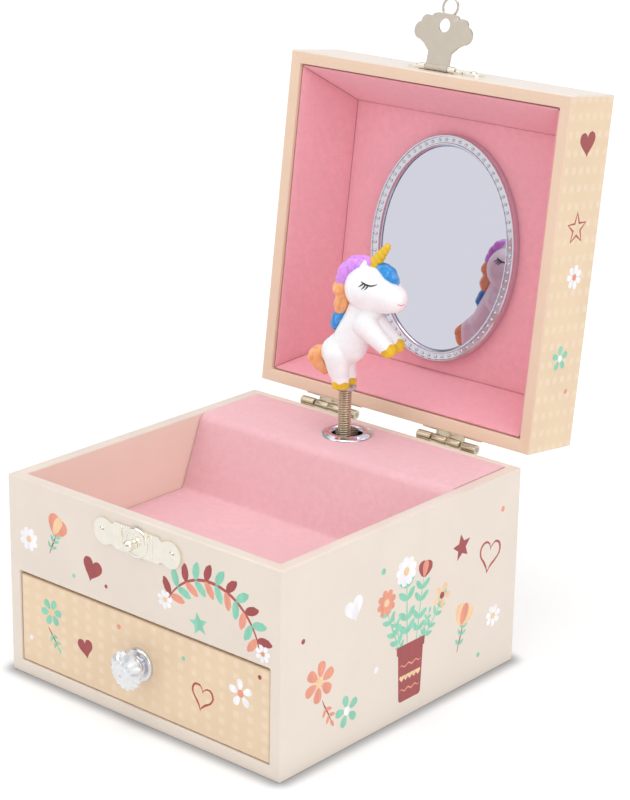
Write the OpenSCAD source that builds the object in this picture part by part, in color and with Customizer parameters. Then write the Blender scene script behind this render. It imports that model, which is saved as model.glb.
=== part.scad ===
// Musical jewellery box: hinged lid with an oval mirror, a felt tray, a drawer,
// an 18-note wind-up movement and a unicorn that turns on a bending spring.
// Millimetres. +X runs along the front, +Y to the back, +Z up.
// The origin is the centre of the box's underside. The lid is drawn open.

/* [Box] */
// Width of the box along its front
box_w = 120; // [112:1:136]
// Depth of the box from front to back
box_d = 120; // [118:1:136]
// Height of the lower box from the table to its rim
base_h = 70; // [63:1:84]
// Height of the lid from its rim to its top
lid_h = 25; // [24.5:0.5:32]
// Thickness of the box and lid walls
wall = 4.5; // [4:0.1:5.5]
// Thickness of the back wall of the lower box
back_t = 3; // [2.6:0.1:4]
// Thickness of the bottom board
bottom_t = 4.5; // [3.5:0.1:5]
// Thickness of the lid's top board
lid_top_t = 2.5; // [2:0.1:3]
// Angle between the closed lid and the open lid
lid_open = 97; // [92:1:100]

/* [Tray] */
// Depth of the tray from the rim to its felt floor
tray_depth = 25.5; // [23:0.5:26]
// Depth of the deck that covers the movement
deck_d = 30; // [29:0.5:33]
// Distance over which the tray's back panel leans
slope_run = 9.8; // [7:0.1:12]
// Radius of the bend at the deck's front edge
bend_r = 4; // [3.5:0.1:5]
// Thickness of the felt
felt_t = 0.6; // [0.4:0.1:0.8]
// Thickness of the card under the deck
card_t = 1.8; // [1.4:0.1:2.2]
// Thickness of the tray board and the partition
board_t = 2.6; // [2:0.1:3]

/* [Drawer] */
// Height of the drawer's opening
bay_h = 32.5; // [28:0.5:33]
// Gap around the drawer's front
drawer_gap = 0.4; // [0.3:0.1:0.8]
// Thickness of the drawer's front
drawer_front_t = 4; // [3:0.1:5]
// Distance from the box's front face back to the drawer's front face
drawer_inset = 0.5; // [0.2:0.1:1.2]
// Room left behind the shut drawer
drawer_space = 2; // [1:0.5:13]
// Height of the drawer's sides
drawer_side_h = 26; // [18:1:27]
// Thickness of the drawer's sides, back and floor
drawer_t = 2.2; // [1.6:0.1:3]
// Diameter of the crystal knob
knob_d = 13.5; // [11:0.5:16]
// Distance from the drawer's front face to the knob's face
knob_reach = 9; // [8:0.5:12]

/* [Mirror] */
// Width of the oval mirror frame
mirror_w = 63; // [54:1:66]
// Felt between each end of the mirror frame and the fold of the lining
mirror_ends = 3.5; // [1.8:0.1:8.8]
// Width of the frame's border
mirror_border = 4.2; // [3.4:0.1:5]
// Thickness of the frame
mirror_t = 3.3; // [2.6:0.1:3.6]
// Width of the sloping sides of the lid's lining
lining_slope = 9.5; // [8:0.5:10]
// Thickness of the lining card
lining_t = 1.2; // [0.8:0.1:1.4]

/* [Hardware] */
// Length of each hinge along its pin
hinge_len = 25; // [21:0.5:28]
// Distance of each hinge's middle from the box's middle
hinge_x = 26.5; // [22:0.5:32]
// Distance of the hinge pin behind the box
hinge_off = 3.2; // [2.8:0.1:3.6]
// Radius of the hinge knuckles
knuckle_r = 1.6; // [1.4:0.05:1.7]
// Length of the catch plate
catch_len = 38; // [34:0.5:42]
// Height of the catch plate
catch_w = 9; // [8:0.5:10]
// Distance of the hasp's pin above the box's rim
hasp_rise = 6.7; // [6:0.1:8]
// Distance from the hasp's pin to the middle of its hole
hasp_reach = 14.4; // [13.5:0.1:15]
// Diameter of the hole in the hasp
hasp_hole = 4.8; // [4.6:0.1:5.4]
// Thickness of the hardware's sheet metal
sheet = 0.8; // [0.7:0.05:0.9]
// Angle of the raised hasp from the lid's front, 0 when it hangs
hasp_up = 97; // [60:1:120]

/* [Figure] */
// Outer diameter of the eyelet in the deck
eyelet_d = 18.4; // [17:0.2:20]
// Diameter of the eyelet's hole
eyelet_hole = 10.5; // [10:0.1:11.5]
// Outer diameter of the coil spring
coil_d = 4.6; // [4.2:0.1:4.8]
// Diameter of the spring's wire
wire_d = 0.8; // [0.7:0.05:0.9]
// Coils in each bending length of the spring
coils = 4; // [3:1:5]
// Height of the unicorn from its hooves to the tip of its horn
figure_h = 50; // [44:1:52]
// Direction in which the unicorn looks, 0 along +X
figure_turn = 14; // [0:1:360]

/* [Movement] */
// Radius of the pinned cylinder
drum_r = 6.5; // [6:0.1:6.8]
// Gap between the bottom board and the movement's plate
plate_gap = 3.5; // [2.5:0.1:6.5]
// Notes on the comb
notes = 18; // [12:1:20]
// Radius of the mainspring's barrel
barrel_r = 10; // [9:0.1:10.4]
// Diameter of the winding arbor
arbor_d = 3; // [2.4:0.1:3.4]
// Width of the winding key across its wings
key_w = 27; // [22:1:30]

/* [Hidden] */
$fn = 64;

// Finishes
cream = "#ebe0d9";
tan_check = "#e8cdac";
paper_pink = "#e8c0b2";
felt_pink = "#f2aeb8";
nickel = "#cfc8b8";
chrome = "#d9dbe0";
steel = "#9a8f80";
brass = "#c8a45a";

// Clearances
fit_gap = 0.05;      // pins and screws in their holes, on the radius
touch_gap = 0.02;    // pieces pushed on to a shaft, on the radius
run_gap = 0.3;       // moving faces that pass each other
eyelet_gap = 0.25;   // the eyelet's rim and the back wall of the closed lid
cut = 1;             // how far a cutting shape passes the face it opens

// Box
half_w = box_w / 2;
half_d = box_d / 2;
in_x = half_w - wall;
back_y = half_d - back_t;
front_in = -half_d + wall;
bay_top = bottom_t + bay_h;
floor_z = base_h - tray_depth;
board_top = floor_z - felt_t;

// Deck and slope
deck_y = back_y - deck_d;
foot_y = deck_y - slope_run;
slope_a = atan2(tray_depth, slope_run);
foot_r = 1.5;
partition_y = foot_y + 0.3;
deck_under = base_h - felt_t - card_t;
cleat_w = 3;
cleat_h = 5;

// Post and movement
post_x = -5.8;
post_y = back_y - 10.4;
eyelet_x = post_x + 1.8;
eyelet_y = half_d - wall - eyelet_d / 2 - eyelet_gap;
drum_top = base_h - 14;
pinion_drop = 5.5;
plate_drop = barrel_r + 1.1;
crown_r = 11.4;
drum_l = drum_top - pinion_drop - crown_r - plate_drop - bottom_t - plate_gap;
drum_z = drum_top - drum_l;
pin_h = 0.7;
pin_r = 0.2;
arbor_r = 0.8;
plate_t = 1.8;
plate_y = back_y - plate_t;
plate_x0 = post_x - 21.7;
plate_x1 = post_x + 17.8;
plate_z1 = base_h - 9;
screw_in = 3;
screw_drop = 16;
arbor_out = 6.5;
key_gap = 0.8;
crown_teeth = 38;
pinion_teeth = 12;
pinion_r = crown_r * pinion_teeth / crown_teeth;
pinion_z = drum_z - pinion_drop;
pinion_t = 1.2;
axle_z = pinion_z - crown_r;
plate_z0 = axle_z - plate_drop;
crown_y = post_y - pinion_r;
tooth_w = 0.5;
crown_add = 0.5;
crown_ded = 0.7;
crown_web = 1.7;
wheel_teeth = 38;
wheel_r = 7.6;
gov_teeth = 8;
gov_r = wheel_r * gov_teeth / wheel_teeth;
wheel_z = drum_top + 1;
wheel_t = 1;
gov_x = post_x + wheel_r + gov_r;
bracket_z = wheel_z + wheel_t + 0.8;
bracket_t = 1.4;
bracket_y0 = post_y - 5.6;
fly_teeth = 18;
fly_wheel_r = 4.2;
fly_wheel_tip = fly_wheel_r + 0.3;
worm_r = 0.9;
fly_z = base_h - 6;
fly_x = gov_x + fly_wheel_tip + 0.2 + worm_r;
fly_r = 3.1;
bearing_z = drum_z - 3.4;
bearing_t = 1.6;

// Comb
tooth_len = 8.3;
comb_tip = post_x - drum_r - pin_h - 0.15;
comb_root = comb_tip - tooth_len;
comb_back = comb_root - 5.6;
comb_t = 0.9;
slot_w = 0.25;
comb_pitch = (drum_l - 1.4) / notes;
comb_screw_z = [drum_z + 4, drum_top - 4];
comb_screw_x = (comb_root + comb_back) / 2 - 0.4;
comb_screw_r = 0.8;

// Spring
coil_r = coil_d / 2;
pitch = wire_d * 1.05;
coil_in = coil_r - wire_d;
root_z = base_h - 0.8;
seg_h = coils * pitch;
feet_z = root_z + 5 * seg_h;
ferrule_z = bracket_z + bracket_t + 0.6;
ferrule_l = 4.5;
disc_r = 4;
disc_t = 1;
disc_gap = 0.1;
hoof_z = feet_z + disc_gap + disc_t;

// Lid, in the coordinates of the closed box
lid_gap = run_gap;
lid_z0 = base_h + lid_gap;
lid_z1 = lid_z0 + lid_h;
lid_in_z = lid_z1 - lid_top_t;
lining_z = lid_in_z - lining_t;
lining_edge = 1;
lining_y = 1;
mirror_x = 1;
mirror_y = 2;
lining_half = half_d - wall - lining_slope - lining_t;
mirror_l = 2 * (lining_half + lining_y - mirror_y - mirror_ends);
hinge_y = half_d + hinge_off;
hinge_z = base_h + lid_gap / 2;

// Hinges
leaf_h = 9;
leaf_gap = 1.9;
pin_hinge_r = 0.7;
knuckle = (hinge_len - 1.6) / 4;
nail_r = 0.6;
nail_head = 1.4;
nail_len = 2.2;
nail_inset = 4.5;

// Catch and hasp
stud_z = base_h - 7.5;
catch_screw = catch_len / 2 - 3.65;
boss_r = 5;
boss_h = 1;
boss_ball = (boss_r * boss_r + boss_h * boss_h) / (2 * boss_h);
stud_r = 2;
hasp_z = base_h + hasp_rise;
hasp_off = 1.2;
hasp_barrel = 1.1;
hasp_pin_r = 0.5;
hasp_knuckle = 4.8;
hasp_ear = 2.6;
hasp_span = 2 * (hasp_knuckle + 0.15 + hasp_ear);
hasp_plate_z = hasp_z + hasp_barrel + 0.2;
hasp_plate_l = 31;
hasp_plate_h = 8;
hasp_nail = 11.6;
lug_w = 1.2;
lug_half = 0.8;
lug_v = hasp_reach + hasp_hole / 2 + lug_half + 0.05;
lug_h = 1.35;
ring_r = 3.1;
ring_wire = 0.4;

// Drawer
drawer_y0 = -half_d + drawer_inset;
drawer_y1 = drawer_y0 + drawer_front_t;
drawer_len = partition_y - drawer_space - drawer_y1;
drawer_x = in_x - 0.5;
drawer_z0 = bottom_t + run_gap;
drawer_z1 = drawer_z0 + drawer_side_h;
drawer_floor_z = drawer_z0 + 0.4;
knob_z = bottom_t + bay_h / 2 - 0.25;
knob_screw_r = 1.4;

// Arc of points round (cx, cy), from angle a0 to a1 in n steps
function arc(cx, cy, rx, ry, a0, a1, n) =
    [for (i = [0:n]) let (a = a0 + (a1 - a0) * i / n) [cx + rx * cos(a), cy + ry * sin(a)]];

// Closed oval with half-axes a and b
function oval(a, b, n = 72) = [for (i = [0:n - 1]) [a * cos(360 * i / n), b * sin(360 * i / n)]];

// Line of the tray's felt, d below its surface: floor, bend, slope, bend and deck
function felt_line(d) = concat(
    [[front_in, floor_z - d]],
    arc(foot_y - foot_r * tan(slope_a / 2), floor_z + foot_r, foot_r + d, foot_r + d,
        -90, slope_a - 90, 5),
    arc(deck_y + bend_r * tan(slope_a / 2), base_h - bend_r, bend_r - d, bend_r - d,
        90 + slope_a, 90, 10),
    [[back_y, base_h - d]]);

function reversed(list) = [for (i = [len(list) - 1:-1:0]) list[i]];

// Outline of a wheel with n narrow straight-sided teeth
function wheel_points(n, root, tip, w) = [for (i = [0:n - 1], k = [0:3])
    let (a = 360 * i / n, r = (k == 0 || k == 3) ? root : tip,
        s = (k < 2 ? -1 : 1) * ((k == 0 || k == 3) ? w * 0.6 : w * 0.36))
    [r * cos(a) - s * sin(a), r * sin(a) + s * cos(a)]];

// Block between two corners
module block(a, b) {
    translate(a) cube([b[0] - a[0], b[1] - a[1], b[2] - a[2]]);
}

// Y-Z outline made len long, from x on
module along_x(x, len) {
    translate([x, 0, 0]) rotate([90, 0, 90]) linear_extrude(len) children();
}

// Shape drawn up +Z, laid to point along +Y from the point p
module point_back(p) {
    translate(p) rotate([-90, 0, 0]) children();
}

// Shape drawn up +Z, laid to point along -Y from the point p, with its own Y upward
module point_front(p) {
    translate(p) rotate([90, 0, 0]) children();
}

// The closed lid's pieces, opened about the hinge pin
module lid_pose() {
    translate([0, hinge_y, hinge_z]) rotate([-lid_open, 0, 0])
        translate([0, -hinge_y, -hinge_z]) children();
}

// ---- Lower box ----

module side_wall(side) {
    color(cream) translate([side > 0 ? in_x : -half_w, -half_d, 0]) cube([wall, box_d, base_h]);
}
module left_wall() side_wall(-1);
module right_wall() side_wall(1);

module back_wall() {
    color(cream) difference() {
        block([-in_x, back_y, 0], [in_x, half_d, base_h]);
        point_back([post_x, back_y - cut, axle_z]) cylinder(h = back_t + 2 * cut, r = arbor_d / 2 + 2);
        plate_screw_places() cylinder(h = back_t - 0.4, r = 0.95 + fit_gap);
        for (x = leaf_nail_x()) point_front([x, half_d + cut, hinge_z - leaf_gap - leaf_h / 2])
            cylinder(h = nail_len + cut + 0.2, r = nail_r + fit_gap);
    }
}

module front_panel() {
    color(cream) difference() {
        block([-in_x, -half_d, bay_top], [in_x, front_in, base_h]);
        for (x = [-catch_screw, catch_screw]) point_back([x, -half_d - cut, stud_z])
            cylinder(h = nail_len + cut + 0.2, r = nail_r + fit_gap);
        point_back([0, -half_d - cut, stud_z]) cylinder(h = 2.6 + cut, r = 1 + fit_gap);
    }
}

module bottom_board() {
    color(cream) block([-in_x, -half_d, 0], [in_x, back_y, bottom_t]);
}

module bay_partition() {
    color(paper_pink)
        block([-in_x, partition_y, bottom_t], [in_x, partition_y + board_t, board_top]);
}

module tray_board() {
    color(paper_pink)
        block([-in_x, front_in, board_top - board_t], [in_x, partition_y, board_top]);
}

module deck_cleats() {
    color(paper_pink) for (side = [-1, 1])
        translate([side > 0 ? in_x - cleat_w : -in_x, deck_y + 4, deck_under - cleat_h])
            cube([cleat_w, deck_d - 5, cleat_h]);
}

// Round hole through the deck for the eyelet's barrel
module eyelet_cut() {
    translate([eyelet_x, eyelet_y, deck_under - cut])
        cylinder(h = felt_t + card_t + 2 * cut, r = eyelet_hole / 2 + 0.5 + fit_gap);
}

module movement_cover() {
    half = in_x - run_gap;
    color(paper_pink) difference() {
        along_x(-half, 2 * half) intersection() {
            polygon(concat(felt_line(felt_t), reversed(felt_line(felt_t + card_t))));
            translate([foot_y - 4, board_top]) square([deck_d + slope_run + 8, tray_depth + 4]);
        }
        eyelet_cut();
    }
}

module tray_felt() {
    half = in_x - run_gap;
    color(felt_pink) difference() {
        along_x(-half, 2 * half)
            polygon(concat(felt_line(0), reversed(felt_line(felt_t))));
        eyelet_cut();
    }
}

module eyelet() {
    hole = eyelet_hole / 2;
    rim = eyelet_d / 2;
    color(chrome) translate([eyelet_x, eyelet_y, base_h]) rotate_extrude()
        polygon(concat([[hole, 0.3], [hole, -felt_t - card_t - 0.8], [hole + 0.5, -felt_t - card_t - 0.8],
            [hole + 0.5, 0], [rim, 0]],
            arc((rim + hole) / 2, 0.1, (rim - hole) / 2, 1.15, 0, 180, 14)));
}

// ---- Catch, nails and hinges ----

// Plate with a bar between two round ends, notched where they meet
module lobed_outline(len, high, screw_x) {
    lobe = high / 2;
    difference() {
        union() {
            square([len - 3 * lobe, high], center = true);
            for (s = [-1, 1]) translate([s * (len / 2 - lobe), 0]) circle(r = lobe);
        }
        for (s = [-1, 1], t = [-1, 1])
            translate([s * (len / 2 - 1.75 * lobe), t * (lobe + 0.7)]) circle(r = 1.7);
        for (s = [-1, 1]) translate([s * screw_x, 0]) circle(r = nail_r + fit_gap);
    }
}

module catch_plate() {
    color(nickel) point_front([0, -half_d, stud_z]) difference() {
        union() {
            linear_extrude(sheet) lobed_outline(catch_len, catch_w, catch_screw);
            intersection() {
                translate([0, 0, sheet + boss_h - boss_ball]) sphere(r = boss_ball);
                cylinder(h = sheet + boss_h + cut, r = catch_w / 2);
            }
        }
        translate([0, 0, -cut]) cylinder(h = sheet + boss_h + 2 * cut, r = 1 + fit_gap);
        translate([0, 0, -2 * boss_ball]) cylinder(h = 2 * boss_ball, r = boss_ball);
    }
}

module catch_stud() {
    top = sheet + boss_h;
    color(nickel) point_front([0, -half_d, stud_z]) {
        translate([0, 0, -2.4]) cylinder(h = 2.4 + top, r = 1);
        translate([0, 0, top]) cylinder(h = 1.4, r1 = 1.5, r2 = 1.2);
        translate([0, 0, top + 2.4]) sphere(r = stud_r);
    }
}

// Round-headed nail, its head standing on z = 0 and its shank below
module nail() {
    translate([0, 0, -nail_len]) cylinder(h = nail_len + 0.3, r = nail_r);
    intersection() {
        translate([0, 0, -1]) sphere(r = sqrt(nail_head * nail_head + 1));
        cylinder(h = 2, r = nail_head + 0.1);
    }
}

// Places of the hinge nails along X
function leaf_nail_x() = [for (s = [-1, 1], t = [-1, 1])
    s * hinge_x + t * (hinge_len / 2 - nail_inset)];

module box_nails() {
    color(nickel) {
        for (x = [-catch_screw, catch_screw]) point_front([x, -half_d - sheet, stud_z]) nail();
        for (x = leaf_nail_x())
            point_back([x, half_d + sheet, hinge_z - leaf_gap - leaf_h / 2]) nail();
    }
}

module lid_nails() {
    color(nickel) lid_pose() {
        for (x = [-hasp_nail, hasp_nail])
            point_front([x, -half_d - sheet, hasp_plate_z + hasp_plate_h / 2]) nail();
        for (x = leaf_nail_x())
            point_back([x, half_d + sheet, hinge_z + leaf_gap + leaf_h / 2]) nail();
    }
}

// Section of the flat leaf, measured from the hinge pin
module leaf_section() {
    translate([-hinge_off, -leaf_gap - leaf_h]) square([sheet, leaf_h]);
}

// Section of a knuckle and the crank that joins it to the leaf
module knuckle_section() {
    difference() {
        union() {
            circle(r = knuckle_r);
            polygon([[-hinge_off, -leaf_gap - 1.4], [-hinge_off + sheet, -leaf_gap - 1.4],
                [-hinge_off + sheet, -leaf_gap], [0.3, -knuckle_r + 0.02], [-0.5, -knuckle_r + 0.8],
                [-hinge_off, -leaf_gap + 0.7]]);
        }
        circle(r = pin_hinge_r + fit_gap);
    }
}

// One leaf: knuckles is a list of [start, length] along the pin; up is 1 for the lid
module hinge_leaf(knuckles, up) {
    translate([0, hinge_y, hinge_z]) mirror([0, 0, up]) difference() {
        union() {
            along_x(-hinge_len / 2, hinge_len) leaf_section();
            for (k = knuckles) along_x(k[0], k[1]) knuckle_section();
        }
        for (t = [-1, 1])
            point_back([t * (hinge_len / 2 - nail_inset), -hinge_off - cut, -leaf_gap - leaf_h / 2])
                cylinder(h = sheet + 2 * cut, r = nail_r + fit_gap);
    }
}

module box_hinge_leaves() {
    color(nickel) for (s = [-1, 1]) translate([s * hinge_x, 0, 0])
        hinge_leaf([[-hinge_len / 2, knuckle], [hinge_len / 2 - knuckle, knuckle]], 0);
}

module lid_hinge_leaves() {
    color(nickel) lid_pose() for (s = [-1, 1]) translate([s * hinge_x, 0, 0])
        hinge_leaf([[-knuckle, knuckle - 0.06], [0.06, knuckle - 0.06]], 1);
}

module hinge_pins() {
    color(steel) for (s = [-1, 1])
        translate([s * hinge_x - hinge_len / 2, hinge_y, hinge_z]) rotate([0, 90, 0])
            cylinder(h = hinge_len, r = pin_hinge_r);
}

// ---- Drawer ----

module drawer_front() {
    color(tan_check) difference() {
        block([-in_x + drawer_gap, drawer_y0, bottom_t + drawer_gap],
            [in_x - drawer_gap, drawer_y1, bay_top - drawer_gap]);
        point_back([0, drawer_y0 - cut, knob_z])
            cylinder(h = drawer_front_t + 2 * cut, r = knob_screw_r + 0.2);
    }
}

module drawer_sides() {
    color(paper_pink) for (side = [-1, 1])
        translate([side > 0 ? drawer_x - drawer_t : -drawer_x, drawer_y1, drawer_z0])
            cube([drawer_t, drawer_len, drawer_side_h]);
}

module drawer_back() {
    inner = drawer_x - drawer_t;
    color(paper_pink) block([-inner, drawer_y1 + drawer_len - drawer_t, drawer_z0],
        [inner, drawer_y1 + drawer_len, drawer_z1]);
}

module drawer_floor() {
    inner = drawer_x - drawer_t;
    color(paper_pink) block([-inner, drawer_y1, drawer_floor_z],
        [inner, drawer_y1 + drawer_len - drawer_t, drawer_floor_z + drawer_t]);
}

module drawer_felt() {
    inner = drawer_x - drawer_t - 0.2;
    top = drawer_floor_z + drawer_t;
    color(felt_pink) block([-inner, drawer_y1 + 0.2, top],
        [inner, drawer_y1 + drawer_len - drawer_t - 0.2, top + felt_t]);
}

module knob_base() {
    cup = knob_reach - 5.2;
    color(chrome) point_front([0, drawer_y0, knob_z]) difference() {
        rotate_extrude() polygon(concat([[0, 0], [5.7, 0], [5.7, 0.5]],
            arc(4.6, 0.5, 1.1, 1, 0, 80, 5),
            [[2.6, 1.8], [2.3, cup - 1.2], [3, cup - 0.8], [knob_d / 2 - 2.4, cup], [0, cup]]));
        translate([0, 0, -cut]) cylinder(h = 2.6 + cut, r = knob_screw_r + fit_gap);
    }
}

module knob_crystal() {
    cup = knob_reach - 5.2;
    r = knob_d / 2;
    color("#eef2f8") point_front([0, drawer_y0, knob_z]) {
        translate([0, 0, cup]) cylinder(h = 1.8, r1 = r - 2.6, r2 = r, $fn = 12);
        translate([0, 0, cup + 1.8]) cylinder(h = 1, r = r, $fn = 12);
        translate([0, 0, cup + 2.8]) cylinder(h = 1.4, r1 = r, r2 = r * 0.76, $fn = 12);
        translate([0, 0, cup + 4.2]) cylinder(h = 1, r1 = r * 0.76, r2 = r * 0.44, $fn = 12);
    }
}

module knob_screw() {
    color(steel) point_front([0, drawer_y1, knob_z]) {
        translate([0, 0, -1.2]) cylinder(h = 1.2, r1 = 2.4, r2 = 3);
        cylinder(h = drawer_front_t + 2.4, r = knob_screw_r);
    }
}

// ---- Lid ----

module lid_top_board() {
    color(cream) lid_pose()
        block([-half_w, -half_d, lid_in_z], [half_w, half_d, lid_z1]);
}

module lid_front_wall() {
    color(cream) lid_pose() difference() {
        block([-in_x, -half_d, lid_z0], [in_x, front_in, lid_in_z]);
        for (x = [-hasp_nail, hasp_nail])
            point_back([x, -half_d - cut, hasp_plate_z + hasp_plate_h / 2])
                cylinder(h = nail_len + cut + 0.2, r = nail_r + fit_gap);
    }
}

module lid_back_wall() {
    color(tan_check) lid_pose() difference() {
        block([-in_x, half_d - wall, lid_z0], [in_x, half_d, lid_in_z]);
        for (x = leaf_nail_x())
            point_front([x, half_d + cut, hinge_z + leaf_gap + leaf_h / 2])
                cylinder(h = nail_len + cut + 0.2, r = nail_r + fit_gap);
    }
}

module lid_side_walls() {
    color(tan_check) lid_pose() for (side = [-1, 1])
        translate([side > 0 ? in_x : -half_w, -half_d, lid_z0])
            cube([wall, box_d, lid_in_z - lid_z0]);
}

// Four-sided taper from a half-width a at z0 to b at z1, its middle moved to y1 at the top
module taper(ax, ay, z0, bx, by, y1, z1) {
    polyhedron(
        points = [[-ax, -ay, z0], [ax, -ay, z0], [ax, ay, z0], [-ax, ay, z0],
            [-bx, y1 - by, z1], [bx, y1 - by, z1], [bx, y1 + by, z1], [-bx, y1 + by, z1]],
        faces = [[0, 1, 2, 3], [7, 6, 5, 4], [4, 5, 1, 0], [5, 6, 2, 1], [6, 7, 3, 2], [7, 4, 0, 3]]);
}

module lid_lining() {
    outer_x = in_x - 0.1;
    outer_y = half_d - wall - 0.1;
    edge_z = lid_z0 + lining_edge;
    inner_x = in_x - lining_slope - lining_t;
    color(felt_pink) lid_pose() difference() {
        taper(outer_x, outer_y, edge_z, inner_x + lining_t, lining_half + lining_t, lining_y, lid_in_z);
        taper(outer_x - lining_t + 0.45, outer_y - lining_t + 0.45, edge_z - 1, inner_x, lining_half,
            lining_y, lining_z);
    }
}

module mirror_frame() {
    a = mirror_w / 2;
    b = mirror_l / 2;
    step = 0.7;
    color(chrome) lid_pose() translate([mirror_x, mirror_y, lining_z]) mirror([0, 0, 1]) {
        linear_extrude(mirror_t - step) difference() {
            polygon(oval(a, b));
            polygon(oval(a - mirror_border, b - mirror_border));
        }
        translate([0, 0, mirror_t - step]) linear_extrude(step) difference() {
            polygon(oval(a - 0.6, b - 0.6));
            polygon(oval(a - mirror_border + 0.7, b - mirror_border + 0.7));
        }
    }
}

module mirror_glass() {
    a = mirror_w / 2 - mirror_border - fit_gap;
    b = mirror_l / 2 - mirror_border - fit_gap;
    color("#d2d4e0") lid_pose() translate([mirror_x, mirror_y, lining_z]) mirror([0, 0, 1])
        linear_extrude(1.6) polygon(oval(a, b));
}

// ---- Hasp ----

module hasp_plate() {
    color(nickel) lid_pose() {
        point_front([0, -half_d, hasp_plate_z + hasp_plate_h / 2])
            linear_extrude(sheet) lobed_outline(hasp_plate_l, hasp_plate_h, hasp_nail);
        for (s = [-1, 1]) difference() {
            union() {
                translate([s * (hasp_knuckle + 0.15 + hasp_ear / 2), -half_d - hasp_off, hasp_z])
                    rotate([0, 90, 0]) cylinder(h = hasp_ear, r = hasp_barrel, center = true);
                translate([s * (hasp_knuckle + 0.15 + hasp_ear / 2), -half_d - sheet / 2, hasp_plate_z - 0.6])
                    cube([hasp_ear, sheet, 1.8], center = true);
            }
            translate([0, -half_d - hasp_off, hasp_z]) rotate([0, 90, 0])
                cylinder(h = hasp_span + 2 * cut, r = hasp_pin_r + fit_gap, center = true);
        }
    }
}

module hasp_pin() {
    color(steel) lid_pose() translate([0, -half_d - hasp_off, hasp_z]) rotate([0, 90, 0])
        cylinder(h = hasp_span, r = hasp_pin_r, center = true);
}

// Puts the flap, drawn up +Z from its pin with its outer face to +Y, in its raised place
module hasp_pose() {
    lid_pose() translate([0, -half_d - hasp_off, hasp_z]) rotate([180 - hasp_up, 0, 0]) children();
}

// Fan with five lobes on a parallel neck, from the pin upward
module flap_outline() {
    v = hasp_reach;
    difference() {
        union() {
            translate([-hasp_knuckle, 0]) square([2 * hasp_knuckle, v - 4]);
            polygon([[-hasp_knuckle, v - 9.2], [-hasp_knuckle - 2.4, v - 6.9], [-11, v - 4.6],
                [-11, v - 1], [-8.4, v + 1], [-5, v + 2.4], [5, v + 2.4], [8.4, v + 1],
                [11, v - 1], [11, v - 4.6], [hasp_knuckle + 2.4, v - 6.9], [hasp_knuckle, v - 9.2]]);
            for (s = [-1, 1]) {
                translate([s * 9.1, v - 2.6]) circle(r = 3.1);
                translate([s * 7.4, v + 0.4]) circle(r = 2.5);
                translate([s * 3.6, v + 1.3]) circle(r = 2.6);
            }
            translate([-3.6, v]) square([7.2, lug_v + lug_half - v]);
        }
        translate([0, v]) circle(r = hasp_hole / 2);
    }
}

module hasp_flap() {
    color(nickel) hasp_pose() difference() {
        union() {
            rotate([90, 0, 0]) translate([0, 0, -sheet / 2]) linear_extrude(sheet) flap_outline();
            rotate([0, 90, 0]) cylinder(h = 2 * hasp_knuckle, r = hasp_barrel, center = true);
            translate([-lug_w / 2, 0, lug_v - lug_half])
                cube([lug_w, lug_h + ring_wire + 0.55, 2 * lug_half]);
        }
        rotate([0, 90, 0])
            cylinder(h = 2 * (hasp_knuckle + cut), r = hasp_pin_r + fit_gap, center = true);
        translate([0, lug_h, lug_v]) rotate([0, 90, 0])
            cylinder(h = lug_w + 2 * cut, r = ring_wire + 0.15, center = true);
    }
}

module pull_ring() {
    color(nickel) hasp_pose() translate([0, lug_h, lug_v + ring_r])
        rotate([90, 0, 0]) rotate_extrude() translate([ring_r, 0]) circle(r = ring_wire, $fn = 24);
}

// ---- Movement ----

// Screws that hold the movement to the back wall, pointing back
module plate_screw_places() {
    left = plate_x0 + screw_in;
    right = plate_x1 - screw_in;
    low = plate_z0 + screw_in;
    for (p = [[left, low], [right, low], [right, plate_z1 - screw_drop]])
        point_back([p[0], back_y - 0.01, p[1]]) children();
}

module movement_plate() {
    color(brass) difference() {
        union() {
            block([plate_x0, plate_y, plate_z0], [plate_x1, back_y, plate_z1]);
            block([comb_back, post_y + comb_t / 2, drum_z - 0.5],
                [comb_root, plate_y + 0.5, drum_top + 0.5]);
            block([post_x - 3, post_y - 2.6, bearing_z], [post_x + 3, plate_y + 0.5, bearing_z + bearing_t]);
        }
        translate([post_x, post_y, bearing_z - cut])
            cylinder(h = bearing_t + 2 * cut, r = arbor_r + fit_gap);
        point_back([post_x, plate_y - cut, axle_z])
            cylinder(h = plate_t + 2 * cut, r = arbor_d / 2 + fit_gap);
        plate_screw_places() translate([0, 0, -plate_t - cut]) cylinder(h = plate_t + 2 * cut, r = 1.1);
        for (z = comb_screw_z) point_back([comb_screw_x, post_y, z])
            cylinder(h = 5, r = comb_screw_r + fit_gap);
    }
}

module movement_screws() {
    color(steel) {
        plate_screw_places() {
            translate([0, 0, -plate_t]) cylinder(h = plate_t + back_t - 0.8, r = 0.95);
            translate([0, 0, -plate_t - 1.1]) cylinder(h = 1.1, r = 1.8);
        }
        for (z = comb_screw_z) point_back([comb_screw_x, post_y - comb_t / 2, z]) {
            cylinder(h = comb_t + 3.6, r = comb_screw_r);
            translate([0, 0, -1]) cylinder(h = 1, r = 1.5);
        }
    }
}

// Steel comb whose teeth grow longer towards the bass end at the bottom
module comb() {
    z0 = drum_z + 0.7;
    color("#b9bcc2") translate([0, post_y + comb_t / 2, 0]) rotate([90, 0, 0]) linear_extrude(comb_t)
        difference() {
            translate([comb_back, z0 - 0.5]) square([comb_tip - comb_back, notes * comb_pitch + 1]);
            for (i = [0:notes]) translate([comb_root + 2.6 * i / notes, z0 + i * comb_pitch - slot_w / 2])
                square([tooth_len + cut, slot_w]);
            translate([comb_root + 1, z0 - 0.5 - cut]) square([tooth_len + cut, 0.5 + cut]);
            translate([comb_root + 3, z0 + notes * comb_pitch]) square([tooth_len + cut, 0.5 + cut]);
            for (z = comb_screw_z) translate([comb_screw_x, z]) circle(r = comb_screw_r + fit_gap);
        }
}

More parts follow.
